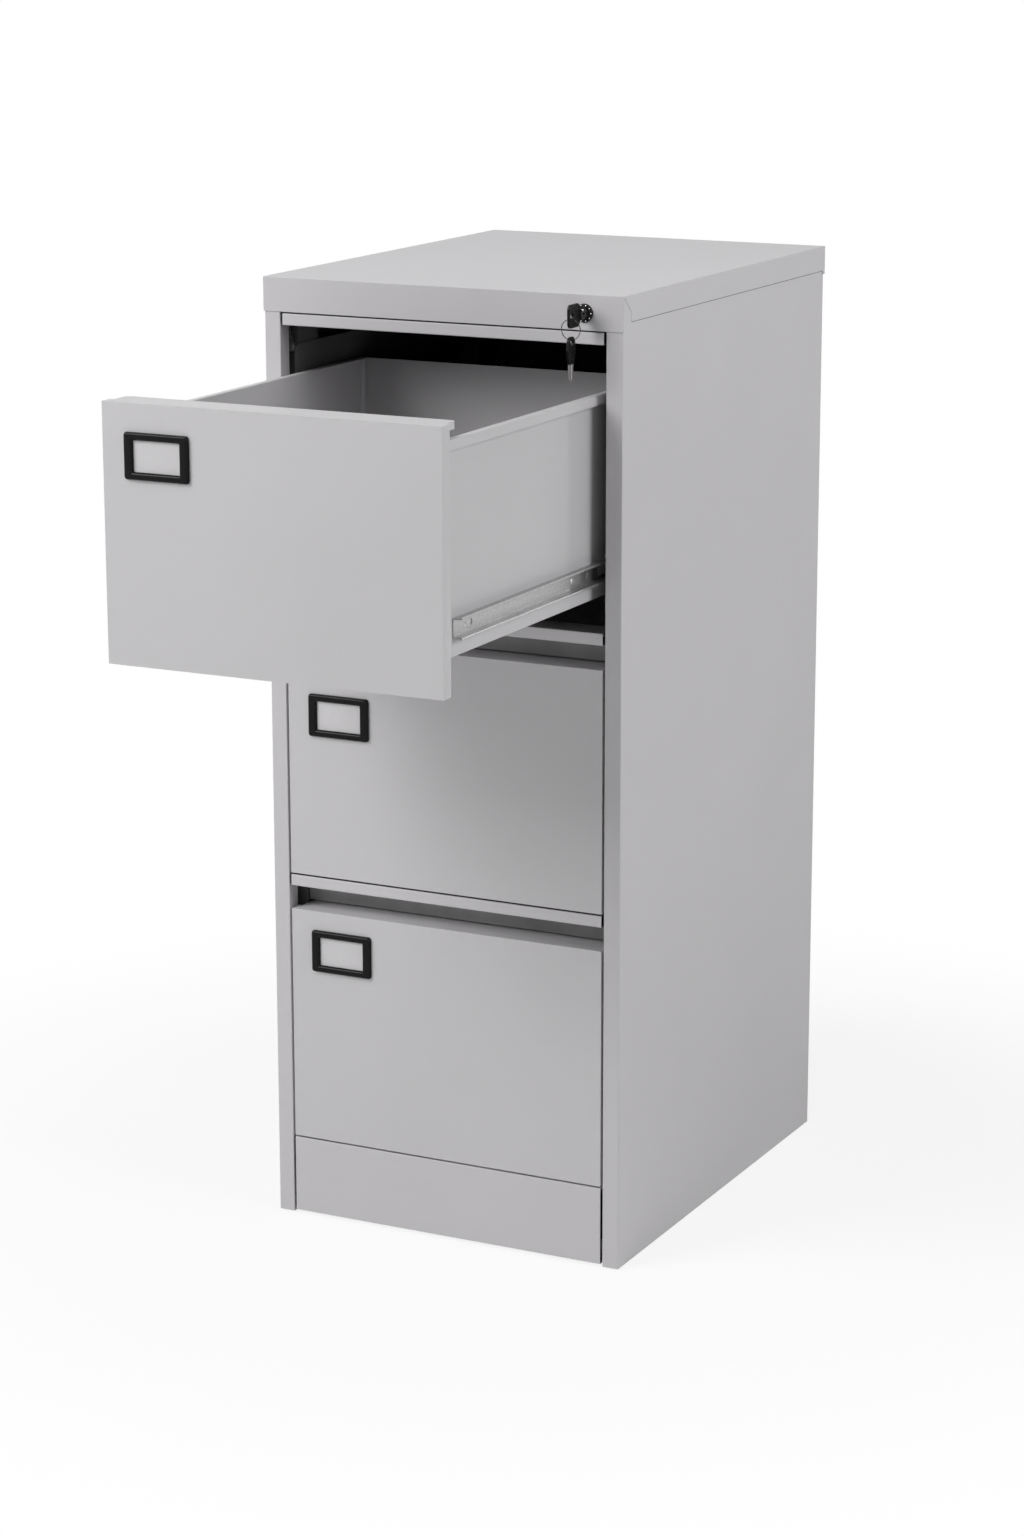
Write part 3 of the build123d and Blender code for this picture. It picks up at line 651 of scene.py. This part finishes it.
def register(mesh: Mesh, name: str, body: str, slot: Slot, finishes: Finishes,
             replaced: tuple[str, ...] = (), smooth: float = 35.0, shaded: Test | None = None
             ) -> bpy.types.Object:
    """Turn a mesh into a piece of the cabinet.

    Args:
        mesh: The mesh, freed afterwards.
        name: The piece's name.
        body: The body that it rides on.
        slot: Its finish.
        finishes: The cabinet's finishes.
        replaced: CAD nodes that it stands for.
        smooth: Angle in degrees under which faces shade smoothly.
        shaded: Test of a face's middle and normal that finds the faces given the dark coat of painted shade.

    Returns:
        The new object.
    """
    data = bpy.data.meshes.new(name)
    mesh.to_mesh(data)
    mesh.free()
    piece = bpy.data.objects.new(name, data)
    bpy.context.scene.collection.objects.link(piece)
    finishes.dress(piece, slot)
    # Faces that pass the test get the near-black coat of painted shade.
    if shaded is not None:
        data.materials.append(finishes.painted_shade)
    for polygon in data.polygons:
        polygon.use_smooth = True
        if shaded is not None and shaded(polygon.center, polygon.normal):
            polygon.material_index = 1
    data.set_sharp_from_angle(angle=math.radians(smooth))
    weighted = piece.modifiers.new("even_normals", "WEIGHTED_NORMAL")
    weighted.keep_sharp = True
    weighted.weight = 80
    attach(piece, body)
    if replaced:
        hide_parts(*replaced)
    log.info("built %s on %s", name, body)
    return piece


@dataclass
class RoundedSheet:
    """A sheet-metal piece taken from its CAD node, with round bends and broken edges."""

    node: str
    body: str
    slot: Slot
    bend: float = 1.1 * MM
    burr: float = 0.22 * MM
    broad: float = 3.0 * MM
    bend_segments: int = 5
    burr_segments: int = 2
    # Test of the faces that get the near-black coat of painted shade.
    shaded: Test | None = None

    def build(self, finishes: Finishes) -> None:
        """Round the copied solid's bends, then its cut edges, and register it.

        Args:
            finishes: The cabinet's finishes.
        """
        mesh = clean_copy(self.node)
        round_edges(mesh, [edge for edge in mesh.edges if self.is_bend(edge)], self.bend, self.bend_segments)
        round_edges(mesh, [edge for edge in mesh.edges if self.is_burr(edge)], self.burr, self.burr_segments)
        register(mesh, f"{self.node}_sheet", self.body, self.slot, finishes, (self.node,), shaded=self.shaded)

    def is_bend(self, edge: Edge) -> bool:
        """Whether an edge is an outer bend between two broad faces."""
        large = turns_out(edge) and edge.calc_length() >= 4 * self.broad
        return large and all(face_width(face) > self.broad for face in edge.link_faces)

    def is_burr(self, edge: Edge) -> bool:
        """Whether an edge is a cut edge that gets a small break."""
        return turns_out(edge) and edge.calc_length() > 2 * self.burr


@dataclass
class Carcass:
    """Panels, rails and inner frame that stand on the floor."""

    finishes: Finishes
    body: str = "carcass"
    post_return: float = 17.0 * MM
    face_depth: float = 1.4 * MM
    cover_inside: float = 0.99
    cover_bend: float = 1.3 * MM
    panel_bend: float = 1.1 * MM
    frame_bend: float = 1.0 * MM
    sheet: float = 1.0 * MM
    apron_depth: float = 35.0 * MM
    apron_drop: float = 24.0 * MM
    apron_lip: float = 7.0 * MM
    apron_gap: float = 0.5 * MM
    apron_radii: tuple[float, ...] = mm(0.2, 1.1, 0.2, 0.2, 0.3, 0.2)
    cover_side_lip: float = 26.0 * MM
    cover_tab: float = 17.0 * MM
    cover_wrap: float = 5.5 * MM
    # Section of the dark strip of painted shadow under the cover's side lip: sunk, proud and tall.
    shadow_strip: Triple = mm(-0.1, 0.25, 0.9)
    shadow_strip_radii: tuple[float, ...] = mm(0.0, 0.05, 0.2, 0.0)
    hidden: dict[str, Slot] = field(default_factory=lambda: {
        "lock_guides": Slot.ZINC, "floor_glides": Slot.NYLON, "carcass_fasteners": Slot.NICKEL,
    })

    # The tests below pick the faces that get the near-black coat of painted shade.
    def under_cover(self, middle: Vector, normal: Vector) -> bool:
        """Whether a face of the cover looks down from the inside of its flat top."""
        return normal.z < -0.9 and middle.z > self.cover_inside

    def behind_post(self, middle: Vector, normal: Vector) -> bool:
        """Whether a side panel's face looks into the cabinet behind the post."""
        return middle.y > FRONT + self.post_return and middle.x * normal.x < 0 and abs(normal.x) > FACING

    def behind_face(self, middle: Vector, normal: Vector) -> bool:
        """Whether a rail's face lies behind its painted front and doesn't look down."""
        return middle.y > FRONT + self.face_depth and normal.y > -FACING and normal.z > -FACING

    def panel(self, node: str, shaded: Test, bend: float) -> None:
        """Build one painted sheet."""
        RoundedSheet(node, self.body, Slot.CARCASS, bend=bend, shaded=shaded).build(self.finishes)

    def apron(self, rail: str) -> None:
        """Build the strip that hangs behind a rail and closes the finger gap, in a darker coat that paints
        the shade of the gap.

        Args:
            rail: Node of the rail.
        """
        bottom = corners(rail)[0].z
        back = FRONT + self.apron_depth
        half = corners("front_upright_right")[0].x - self.apron_gap
        t, drop, lip = self.sheet, -self.apron_drop, self.apron_lip
        points = [(0.0, 0.0), (0.0, drop), (lip, drop), (lip, drop + t), (t, drop + t), (t, 0.0)]
        outline = rounded(points, self.apron_radii, 4)
        mesh = slab(outline, (-half, half), lambda u, v, w: Vector((w, back + u, bottom + v)))
        piece = register(mesh, f"{rail}_apron", self.body, Slot.CARCASS, self.finishes)
        # The darker coat is painted shade of the finger gap, not the carcass paint.
        self.finishes.dress(piece, Slot.CARCASS, self.finishes.gap_shade)

    def shadow_strip_under_cover(self, side: str) -> None:
        """Build the dark strip of painted shadow in the corner between the cover's side lip and the panel.

        Args:
            side: Left or right.
        """
        cover_low, cover_high = corners("top_cover")
        low, high = corners(f"side_panel_{side}")
        sign = SIDES[side]
        sunk, proud, tall = self.shadow_strip
        face, top = max(abs(low.x), abs(high.x)), cover_high.z - self.cover_side_lip
        points = [(sunk, 0.0), (proud, 0.0), (proud, -tall), (sunk, -tall)]
        outline = rounded(points, self.shadow_strip_radii, 3)
        span = (cover_low.y + self.cover_tab, cover_high.y - self.cover_wrap)
        mesh = slab(outline, span, lambda u, v, w: Vector((sign * (face + u), w, top + v)))
        register(mesh, f"cover_painted_shadow_{side}", self.body, Slot.CARCASS, self.finishes, shaded=everywhere)

    def build(self) -> None:
        """Build the skins with rounded bends and dress what stays as it is."""
        # Each panel's test picks the faces that get the near-black coat of painted shade.
        self.panel("top_cover", self.under_cover, self.cover_bend)
        self.panel("back_panel", lambda middle, normal: normal.y < -FACING, self.panel_bend)
        self.panel("base_pan", lambda middle, normal: normal.z > FACING, self.panel_bend)
        self.panel("plinth_panel", lambda middle, normal: normal.y > FACING, self.panel_bend)
        for rail in ("top_rail", "upper_rail", "lower_rail"):
            self.panel(rail, self.behind_face, self.panel_bend)
        for rail in ("upper_rail", "lower_rail"):
            self.apron(rail)
        for side in SIDES:
            self.shadow_strip_under_cover(side)
            self.panel(f"side_panel_{side}", self.behind_post, self.panel_bend)
            for part in ("front_upright", "rear_upright", "side_brace"):
                self.panel(f"{part}_{side}", everywhere, self.frame_bend)
        for node, slot in self.hidden.items():
            self.finishes.dress(FRAME["nodes"][node], slot)
            log.info("dressed %s", node)


@dataclass
class Runners:
    """Drawn-steel ball runners of all drawers."""

    finishes: Finishes
    steel: float = 1.2 * MM
    lip: float = 1.2 * MM
    outer_bend: float = 1.0 * MM
    inner_bend: float = 0.5 * MM
    hole: Point = mm(35.0, 3.0)
    dimple: Triple = mm(24.0, 3.0, 0.7)
    dimple_rings: tuple[Point, ...] = ((1.3, -1.0), (1.0, 0.0), (0.7, 0.7), (0.25, 1.0))
    rivet: Triple = mm(250.0, 3.5, 0.9)
    rivet_rings: tuple[Point, ...] = (
        (1.0, -0.2), (1.0, 0.25), (0.86, 0.8), (0.6, 1.0), (0.42, 0.8), (0.34, 0.25))
    slot: Triple = mm(283.0, 2.5, 7.0)
    window: Triple = mm(319.0, 24.0, 10.0)
    slot_roundness: float = 2.2

    def channel(self, reach: float, height: float, inward: bool) -> list[Point]:
        """Section of one member, its web at zero.

        Args:
            reach: How far the flanges stand out.
            height: Height over the flanges, without outward lips.
            inward: Whether the lips turn towards each other.

        Returns:
            The rounded outline, with the middle of its height at zero.
        """
        t, half = self.steel, height / 2
        if inward:
            edge = half - t - self.lip
            upper = [(0.0, half, self.outer_bend), (reach, half, self.outer_bend), (reach, edge, 0.0),
                     (reach - t, edge, 0.0), (reach - t, half - t, self.inner_bend),
                     (t, half - t, self.inner_bend)]
        else:
            edge = half + self.lip
            upper = [(0.0, half, self.outer_bend), (reach - t, half, self.inner_bend),
                     (reach - t, edge, 0.0), (reach, edge, 0.0),
                     (reach, half - t, self.outer_bend), (t, half - t, self.inner_bend)]
        ends = upper + [(u, -v, radius) for u, v, radius in reversed(upper)]
        return rounded([(u, v) for u, v, _ in ends], [radius for _, _, radius in ends], 4)

    def cutters(self, place: Place) -> list[Mesh]:
        """Holes and pressings of a drawer member.

        Args:
            place: Turns the place along the member, the height and the depth into a point.

        Returns:
            The solids to cut out.
        """
        through = (-self.steel, 2 * self.steel)
        tools = [slab(circle(self.hole[1], 32, (self.hole[0], 0.0)), through, place)]
        for inset, wide, tall in (self.slot, self.window):
            shape = rectangle(wide, tall, min(wide, tall) / self.slot_roundness, 5)
            tools.append(slab([(u + inset, v) for u, v in shape], through, place))
        inset, radius, depth = self.dimple
        rings = [[place(u, v, self.steel - sink * depth) for u, v in circle(radius * size, 32, (inset, 0.0))]
                 for size, sink in self.dimple_rings]
        return [*tools, skin(rings)]

    def rivet_head(self, place: Place) -> Mesh:
        """Domed head with a sunk middle on the web's outer face.

        Args:
            place: Turns the place along the member, the height and the depth into a point.

        Returns:
            The head.
        """
        inset, radius, height = self.rivet
        rings = [[place(u, v, self.steel + rise * height) for u, v in circle(radius * size, 32, (inset, 0.0))]
                 for size, rise in self.rivet_rings]
        return skin(rings)

    def member(self, number: int, side: str, fixed: bool) -> None:
        """Build one member of a runner.

        Args:
            number: The drawer's number.
            side: Left or right.
            fixed: Whether it is the member on the uprights or the one on the drawer.
        """
        node = f"{'cabinet' if fixed else 'drawer'}_runner_{number}_{side}"
        low, high = corners(node)
        sign, opens = SIDES[side], -1 if fixed else 1
        web = (max if fixed else min)(abs(low.x), abs(high.x))
        middle = (low.z + high.z) / 2

        def place(along: float, up: float, out: float) -> Vector:
            """A point by its distances from the front end, the middle of the height and the web."""
            return Vector((sign * (web + out), low.y + along, middle + up))

        height = high.z - low.z - (0.0 if fixed else 2 * self.lip)
        section = self.channel(abs(high.x - low.x), height, fixed)
        steel = slab(section, (0.0, high.y - low.y), lambda u, v, w: place(w, v, opens * u))
        body = "carcass"
        if not fixed:
            body = f"drawer_{number}"
            steel = merged([carved(steel, self.cutters(place)), self.rivet_head(place)])
        register(steel, f"{node}_steel", body, Slot.ZINC, self.finishes, (node,), 40.0)

    def build(self) -> None:
        """Build both members of every runner and dress the cages."""
        for number in DRAWERS:
            for side in SIDES:
                for fixed in (True, False):
                    self.member(number, side, fixed)
            self.finishes.dress(FRAME["nodes"][f"ball_cages_{number}"], Slot.ZINC)
            log.info("dressed ball_cages_%d", number)


@dataclass
class Drawer:
    """One drawer with its double-skinned front, box and card frame.

    The frame's rings pair a distance from its edge, in millimetres, with a share of its depth.
    """

    number: int
    finishes: Finishes
    window: Point = mm(51.0, 30.0)
    window_corner: float = 0.9 * MM
    window_rings: tuple[Point, ...] = (
        (2.3, 1.0), (1.5, 0.93), (0.8, 0.8), (0.2, 0.55), (0.0, 0.3), (0.0, 0.15))
    pocket: Point = mm(60.4, 39.4)
    pocket_depth: float = 0.6 * MM
    frame_corner: float = 3.0 * MM
    frame_rings: tuple[Point, ...] = (
        (0.0, 0.0), (0.05, 0.45), (0.25, 0.62), (0.75, 0.82), (1.3, 0.95), (2.0, 1.0))
    card_burr: float = 0.05 * MM

    @property
    def body(self) -> str:
        """The CAD body that the drawer's pieces ride on."""
        return f"drawer_{self.number}"

    def label_frame(self) -> None:
        """Build the glossy card frame: side wall, chamfer, flat face and sloping window edge."""
        node = f"label_frame_{self.number}"
        low, high = corners(node)
        width, height, depth = high.x - low.x, high.z - low.z, high.y - low.y
        middle = (low + high) / 2
        loops = []
        for inset, rise in self.frame_rings:
            shape = rectangle(width - 2 * inset * MM, height - 2 * inset * MM,
                              self.frame_corner - 0.6 * inset * MM, 6)
            loops.append((shape, high.y - rise * depth))
        for grow, rise in self.window_rings:
            shape = rectangle(self.window[0] + 2 * grow * MM, self.window[1] + 2 * grow * MM,
                              self.window_corner + 0.5 * grow * MM, 6)
            loops.append((shape, high.y - max(rise * depth, self.pocket_depth)))
        for rise in (self.pocket_depth, 0.0):
            loops.append((rectangle(*self.pocket, self.window_corner, 6), high.y - rise))
        placed = [[Vector((middle.x + u, y, middle.z + v)) for u, v in shape] for shape, y in loops]
        mesh = skin(placed, ring=True)
        register(mesh, f"{node}_moulding", self.body, Slot.BLACK, self.finishes, (node,), 60.0)

    def build(self) -> None:
        """Build the drawer's sheets and its label."""
        for part in ("front", "inner_front", "body", "back"):
            RoundedSheet(f"drawer_{self.number}_{part}", self.body, Slot.DRAWER).build(self.finishes)
        self.label_frame()
        card = RoundedSheet(f"label_card_{self.number}", self.body, Slot.CARD, burr=self.card_burr)
        card.build(self.finishes)


@dataclass
class Keys:
    """The key in the lock, the spare key and the split ring that joins them."""

    finishes: Finishes
    head_thickness: float = 2.6 * MM
    hole_radius: float = 3.5 * MM
    hole_inset: float = 6.0 * MM
    edge: float = 0.55 * MM
    blade_thickness: float = 2.2 * MM
    blade_half: float = 4.0 * MM
    blade_start: float = 18.5 * MM
    tip: float = 37.0 * MM
    tip_taper: float = 3.2 * MM
    tip_half: float = 0.8 * MM
    cuts: Triple = mm(31.4, 28.0, 24.6)
    cut_mouth: float = 1.3 * MM
    cut_floor: float = 0.3 * MM
    cut_depth: float = 1.3 * MM
    groove: tuple[Point, ...] = (mm(-1.5, 19.5), mm(0.9, 19.5), mm(0.9, 35.0), mm(-1.5, 35.0))
    groove_floor: float = 0.55
    groove_reach: float = 1.5
    wire: float = 0.36 * MM
    wire_room: float = 0.7 * MM
    wire_turns: float = 2.0
    wire_start: float = math.radians(40)
    wire_steps: int = 144

    def key(self, name: str, head: Sequence[Triple], place: Place) -> None:
        """Build a key's moulded head with its ring hole, and then its blade.

        Args:
            name: The key's node and body.
            head: Corners of the head with their radii.
            place: Turns across, along and through the key into a point.
        """
        half = self.head_thickness / 2
        outline = rounded([(u, v) for u, v, _ in head], [radius for _, _, radius in head], 6)
        mesh = slab(outline, (-half, half), place)
        round_edges(mesh, [edge for edge in mesh.edges if turns_out(edge)], self.edge, 3)
        hole = slab(circle(self.hole_radius, 32), (-2 * half, 2 * half), place)
        register(carved(mesh, [hole]), f"{name}_head", name, Slot.KEY, self.finishes, (name,), 40.0)
        self.blade(name, place)

    def blade(self, name: str, place: Place) -> None:
        """Build a key's steel blade with its cuts and side grooves.

        Args:
            name: The key's node and body.
            place: Turns across, along and through the key into a point.
        """
        half, t, end = self.blade_half, self.blade_thickness / 2, self.tip
        points = [(-half, self.blade_start), (-half, end - self.tip_taper), (-self.tip_half, end),
                  (self.tip_half, end), (half, end - self.tip_taper)]
        low = half - self.cut_depth
        for step in self.cuts:
            points += [(half, step + self.cut_mouth), (low, step + self.cut_floor),
                       (low, step - self.cut_floor), (half, step - self.cut_mouth)]
        points.append((half, self.blade_start))
        inner, outer = t * self.groove_floor, t * self.groove_reach
        grooves = [slab(self.groove, span, place) for span in ((-outer, -inner), (inner, outer))]
        mesh = carved(slab(points, (-t, t), place), grooves)
        register(mesh, f"{name}_blade", name, Slot.NICKEL, self.finishes, (), 30.0)

    def ring(self) -> None:
        """Build the split ring as two turns of wire side by side."""
        low, high = corners("key_ring")
        middle = (low + high) / 2
        radius = (high.x - low.x) / 2 - self.wire_room
        loops = []
        for k in range(self.wire_steps + 1):
            part = k / self.wire_steps
            turn = self.wire_start + 2 * math.pi * self.wire_turns * part
            shift = (part - 0.5) * 2 * (self.wire_room - self.wire)
            out = Vector((math.cos(turn), 0.0, math.sin(turn)))
            centre = middle + out * radius + Vector((0.0, shift, 0.0))
            loops.append([centre + out * u + Vector((0.0, v, 0.0)) for u, v in circle(self.wire, 10)])
        wire = register(skin(loops), "key_ring_wire", "key_ring", Slot.NICKEL, self.finishes,
                        ("key_ring",), 50.0)
        self.finishes.dress(wire, Slot.NICKEL, self.finishes.blackened)

    def build(self) -> None:
        """Build both keys and the ring."""
        low, high = corners("key")
        x, y, z = (low.x + high.x) / 2, low.y + self.hole_inset, (low.z + high.z) / 2
        self.key("key", KEY_HEAD, lambda u, v, w: Vector((x + w, y + v, z + u)))
        low, high = corners("spare_key")
        x, y, z = (low.x + high.x) / 2, (low.y + high.y) / 2, high.z - self.hole_inset
        self.key("spare_key", SPARE_HEAD, lambda u, v, w: Vector((x + w, y + u, z - v)))
        self.ring()


@dataclass
class Lock:
    """Lock cylinder with its bezel, and the linkage behind the cover's lip."""

    finishes: Finishes
    bore: float = 5.5 * MM
    bore_edge: float = 0.5 * MM
    bezel: float = 9.25 * MM
    bezel_rings: tuple[Point, ...] = (
        mm(5.8, 0.12), mm(6.3, 0.0), mm(6.8, 0.12), mm(7.0, 0.5), mm(7.2, 0.62), mm(7.5, 0.3),
        mm(7.9, 0.15), mm(8.4, 0.35), mm(8.9, 0.8), mm(9.15, 1.4))
    bezel_wall: Point = mm(2.0, 3.0)
    barrel: float = 8.0 * MM
    studs: int = 10
    stud: Point = mm(0.75, 0.75)
    stud_seat: float = 0.7 * MM
    stud_circle: float = 7.9 * MM
    nodes: dict[str, Slot] = field(default_factory=lambda: {
        "lock_plug": Slot.NICKEL, "lock_cam": Slot.LINKAGE, "lock_rod": Slot.LINKAGE,
        "lock_crank": Slot.ZINC, "lock_bar": Slot.LINKAGE,
    })

    def housing(self) -> None:
        """Build the moulded bezel with its raised rings, the barrel behind it and the bezel's studs."""
        low, high = corners("lock_housing")
        middle = (low + high) / 2
        face = Vector((middle.x, low.y, middle.z))
        length = high.y - low.y
        near, far = self.bezel_wall
        profile = [(self.bore, length), (self.bore, self.bore_edge), *self.bezel_rings,
                   (self.bezel, near), (self.bezel, far), (self.barrel, far), (self.barrel, length)]
        register(turned(profile, face), "lock_housing_bezel", "carcass", Slot.BLACK, self.finishes,
                 ("lock_housing",), 60.0)
        radius, rise = self.stud
        dome = [(radius * math.cos(t), self.stud_seat - rise * math.sin(t))
                for t in (math.radians(angle) for angle in (0, 20, 40, 60, 80))]
        domes = []
        for k in range(self.studs):
            turn = 2 * math.pi * k / self.studs
            seat = face + Vector((math.cos(turn), 0.0, math.sin(turn))) * self.stud_circle
            domes.append(turned(dome, seat, 16, ring=False))
        register(merged(domes), "lock_bezel_studs", "carcass", Slot.NICKEL, self.finishes, (), 60.0)

    def build(self) -> None:
        """Build the housing and dress the plug and the linkage."""
        self.housing()
        for node, slot in self.nodes.items():
            special = self.finishes.blackened if node == "lock_plug" else None
            self.finishes.dress(FRAME["nodes"][node], slot, special)
            log.info("dressed %s", node)


@dataclass(frozen=True)
class SoftBox:
    """One square lamp."""

    name: str
    place: Triple
    size: float
    power: float
    aim: Triple = (0.0, -0.1, 0.55)

    def build(self) -> None:
        """Add the lamp to the scene."""
        data = bpy.data.lights.new(self.name, "AREA")
        data.shape = "SQUARE"
        data.size = self.size
        data.energy = self.power
        light = bpy.data.objects.new(self.name, data)
        direction = Vector(self.aim) - Vector(self.place)
        light.rotation_euler = direction.to_track_quat("-Z", "Y").to_euler()
        light.location = self.place
        bpy.context.scene.collection.objects.link(light)


LAMPS = (
    SoftBox("key_box", (-2.0, -3.0, 3.0), 2.0, 110.0),
    SoftBox("high_box", (-1.4, -2.4, 3.6), 1.4, 19.0),
    SoftBox("left_box", (-3.0, -2.6, 1.3), 2.0, 18.0),
    SoftBox("front_box", (1.5, -3.4, 2.8), 1.4, 6.0),
    SoftBox("side_box", (3.2, -0.4, 2.0), 1.6, 52.0),
    SoftBox("top_box", (0.0, -0.1, 3.4), 2.4, 21.0),
    SoftBox("rear_spot", (2.6, 3.2, 1.6), 0.35, 16.0),
)


@dataclass
class Studio:
    """Floor, backdrop, soft lights and the camera at the photograph's angle."""

    azimuth: float = 26.674
    elevation: float = 13.931
    roll: float = -0.085
    place: Triple = (1.719865, -3.521766, 1.425520)
    lens: float = 131.33
    sensor: float = 36.0
    far_clip: float = 100.0
    air: float = 0.03
    air_colour: Triple = (0.97, 0.97, 1.0)
    floor_size: float = 30.0
    floor_colour: Triple = (0.85, 0.85, 0.85)
    floor_roughness: float = 0.9
    shadow_share: float = 0.16
    shadow_near: float = 0.45
    shadow_far: float = 1.1

    def camera(self) -> None:
        """Create the camera that the photograph was fitted with."""
        data = bpy.data.cameras.new("photo_camera")
        data.sensor_fit = "HORIZONTAL"
        data.sensor_width = self.sensor
        data.lens = self.lens
        data.clip_end = self.far_clip
        camera = bpy.data.objects.new("photo_camera", data)
        az, el, roll = (math.radians(v) for v in (self.azimuth, self.elevation, self.roll))
        forward = Vector((-math.sin(az) * math.cos(el), math.cos(az) * math.cos(el), -math.sin(el)))
        right = Vector((math.cos(az), math.sin(az), 0.0))
        up = right.cross(forward)
        turned_right = right * math.cos(roll) + up * math.sin(roll)
        turned_up = up * math.cos(roll) - right * math.sin(roll)
        basis = Matrix((turned_right, turned_up, -forward)).transposed()
        camera.matrix_world = Matrix.Translation(Vector(self.place)) @ basis.to_4x4()
        bpy.context.scene.collection.objects.link(camera)
        bpy.context.scene.camera = camera

    def seen(self, tree: bpy.types.NodeTree) -> Socket:
        """One for camera, glossy and transmission rays, and zero for the rest.

        Args:
            tree: The node tree to extend.

        Returns:
            The value's socket.
        """
        path = tree.nodes.new("ShaderNodeLightPath")
        value = path.outputs["Is Camera Ray"]
        for other in ("Is Glossy Ray", "Is Transmission Ray"):
            either = tree.nodes.new("ShaderNodeMath")
            either.operation = "MAXIMUM"
            tree.links.new(value, either.inputs[0])
            tree.links.new(path.outputs[other], either.inputs[1])
            value = either.outputs[0]
        return value

    def world(self) -> None:
        """Set up faint surroundings that look white to the camera and in gloss."""
        world = bpy.data.worlds.new("studio_air")
        bpy.context.scene.world = world
        world.use_nodes = True
        tree = world.node_tree
        tree.nodes.clear()
        mix = tree.nodes.new("ShaderNodeMixShader")
        tree.links.new(self.seen(tree), mix.inputs["Fac"])
        for socket, colour, strength in ((1, self.air_colour, self.air), (2, (1.0, 1.0, 1.0), 1.0)):
            light = tree.nodes.new("ShaderNodeBackground")
            light.inputs["Color"].default_value = (*colour, 1.0)
            light.inputs["Strength"].default_value = strength
            tree.links.new(light.outputs[0], mix.inputs[socket])
        out = tree.nodes.new("ShaderNodeOutputWorld")
        tree.links.new(mix.outputs["Shader"], out.inputs["Surface"])

    def floor(self) -> None:
        """Build the pale floor, which keeps the cabinet's shadow and fades to the white backdrop."""
        mesh = bmesh.new()
        bmesh.ops.create_grid(mesh, x_segments=1, y_segments=1, size=self.floor_size / 2)
        data = bpy.data.meshes.new("studio_floor")
        mesh.to_mesh(data)
        mesh.free()
        floor = bpy.data.objects.new("studio_floor", data)
        bpy.context.scene.collection.objects.link(floor)
        graph = NodeGraph("pale_floor")
        graph.shader.inputs["Base Color"].default_value = (*self.floor_colour, 1.0)
        graph.shader.inputs["Roughness"].default_value = self.floor_roughness
        glow = graph.add("ShaderNodeEmission")
        glow.inputs["Strength"].default_value = 1.0
        length = graph.add("ShaderNodeVectorMath", operation="LENGTH")
        graph.link(graph.place, length.inputs[0])
        fade = graph.add("ShaderNodeMapRange", interpolation_type="SMOOTHSTEP")
        fade.inputs["From Min"].default_value = self.shadow_near
        fade.inputs["From Max"].default_value = self.shadow_far
        fade.inputs["To Min"].default_value = 1.0 - self.shadow_share
        fade.inputs["To Max"].default_value = 1.0
        graph.link(length.outputs["Value"], fade.inputs["Value"])
        share = graph.add("ShaderNodeMath", operation="MULTIPLY")
        graph.link(self.seen(graph.tree), share.inputs[0])
        graph.link(fade.outputs["Result"], share.inputs[1])
        mix = graph.add("ShaderNodeMixShader")
        graph.link(share.outputs[0], mix.inputs["Fac"])
        graph.link(graph.shader.outputs["BSDF"], mix.inputs[1])
        graph.link(glow.outputs[0], mix.inputs[2])
        graph.link(mix.outputs["Shader"], graph.surface)
        floor.data.materials.append(graph.material)

    def build(self) -> None:
        """Set up the camera, the stage and the lights."""
        self.camera()
        bpy.context.scene.view_settings.view_transform = "Standard"
        self.world()
        self.floor()
        for lamp in LAMPS:
            lamp.build()


def main() -> None:
    """Build the whole scene."""
    logging.basicConfig(level=logging.INFO, format="%(message)s")
    Studio().build()
    finishes = Finishes()
    Carcass(finishes).build()
    Runners(finishes).build()
    for number in DRAWERS:
        Drawer(number, finishes).build()
    Lock(finishes).build()
    Keys(finishes).build()


if __name__ == "__main__":
    main()
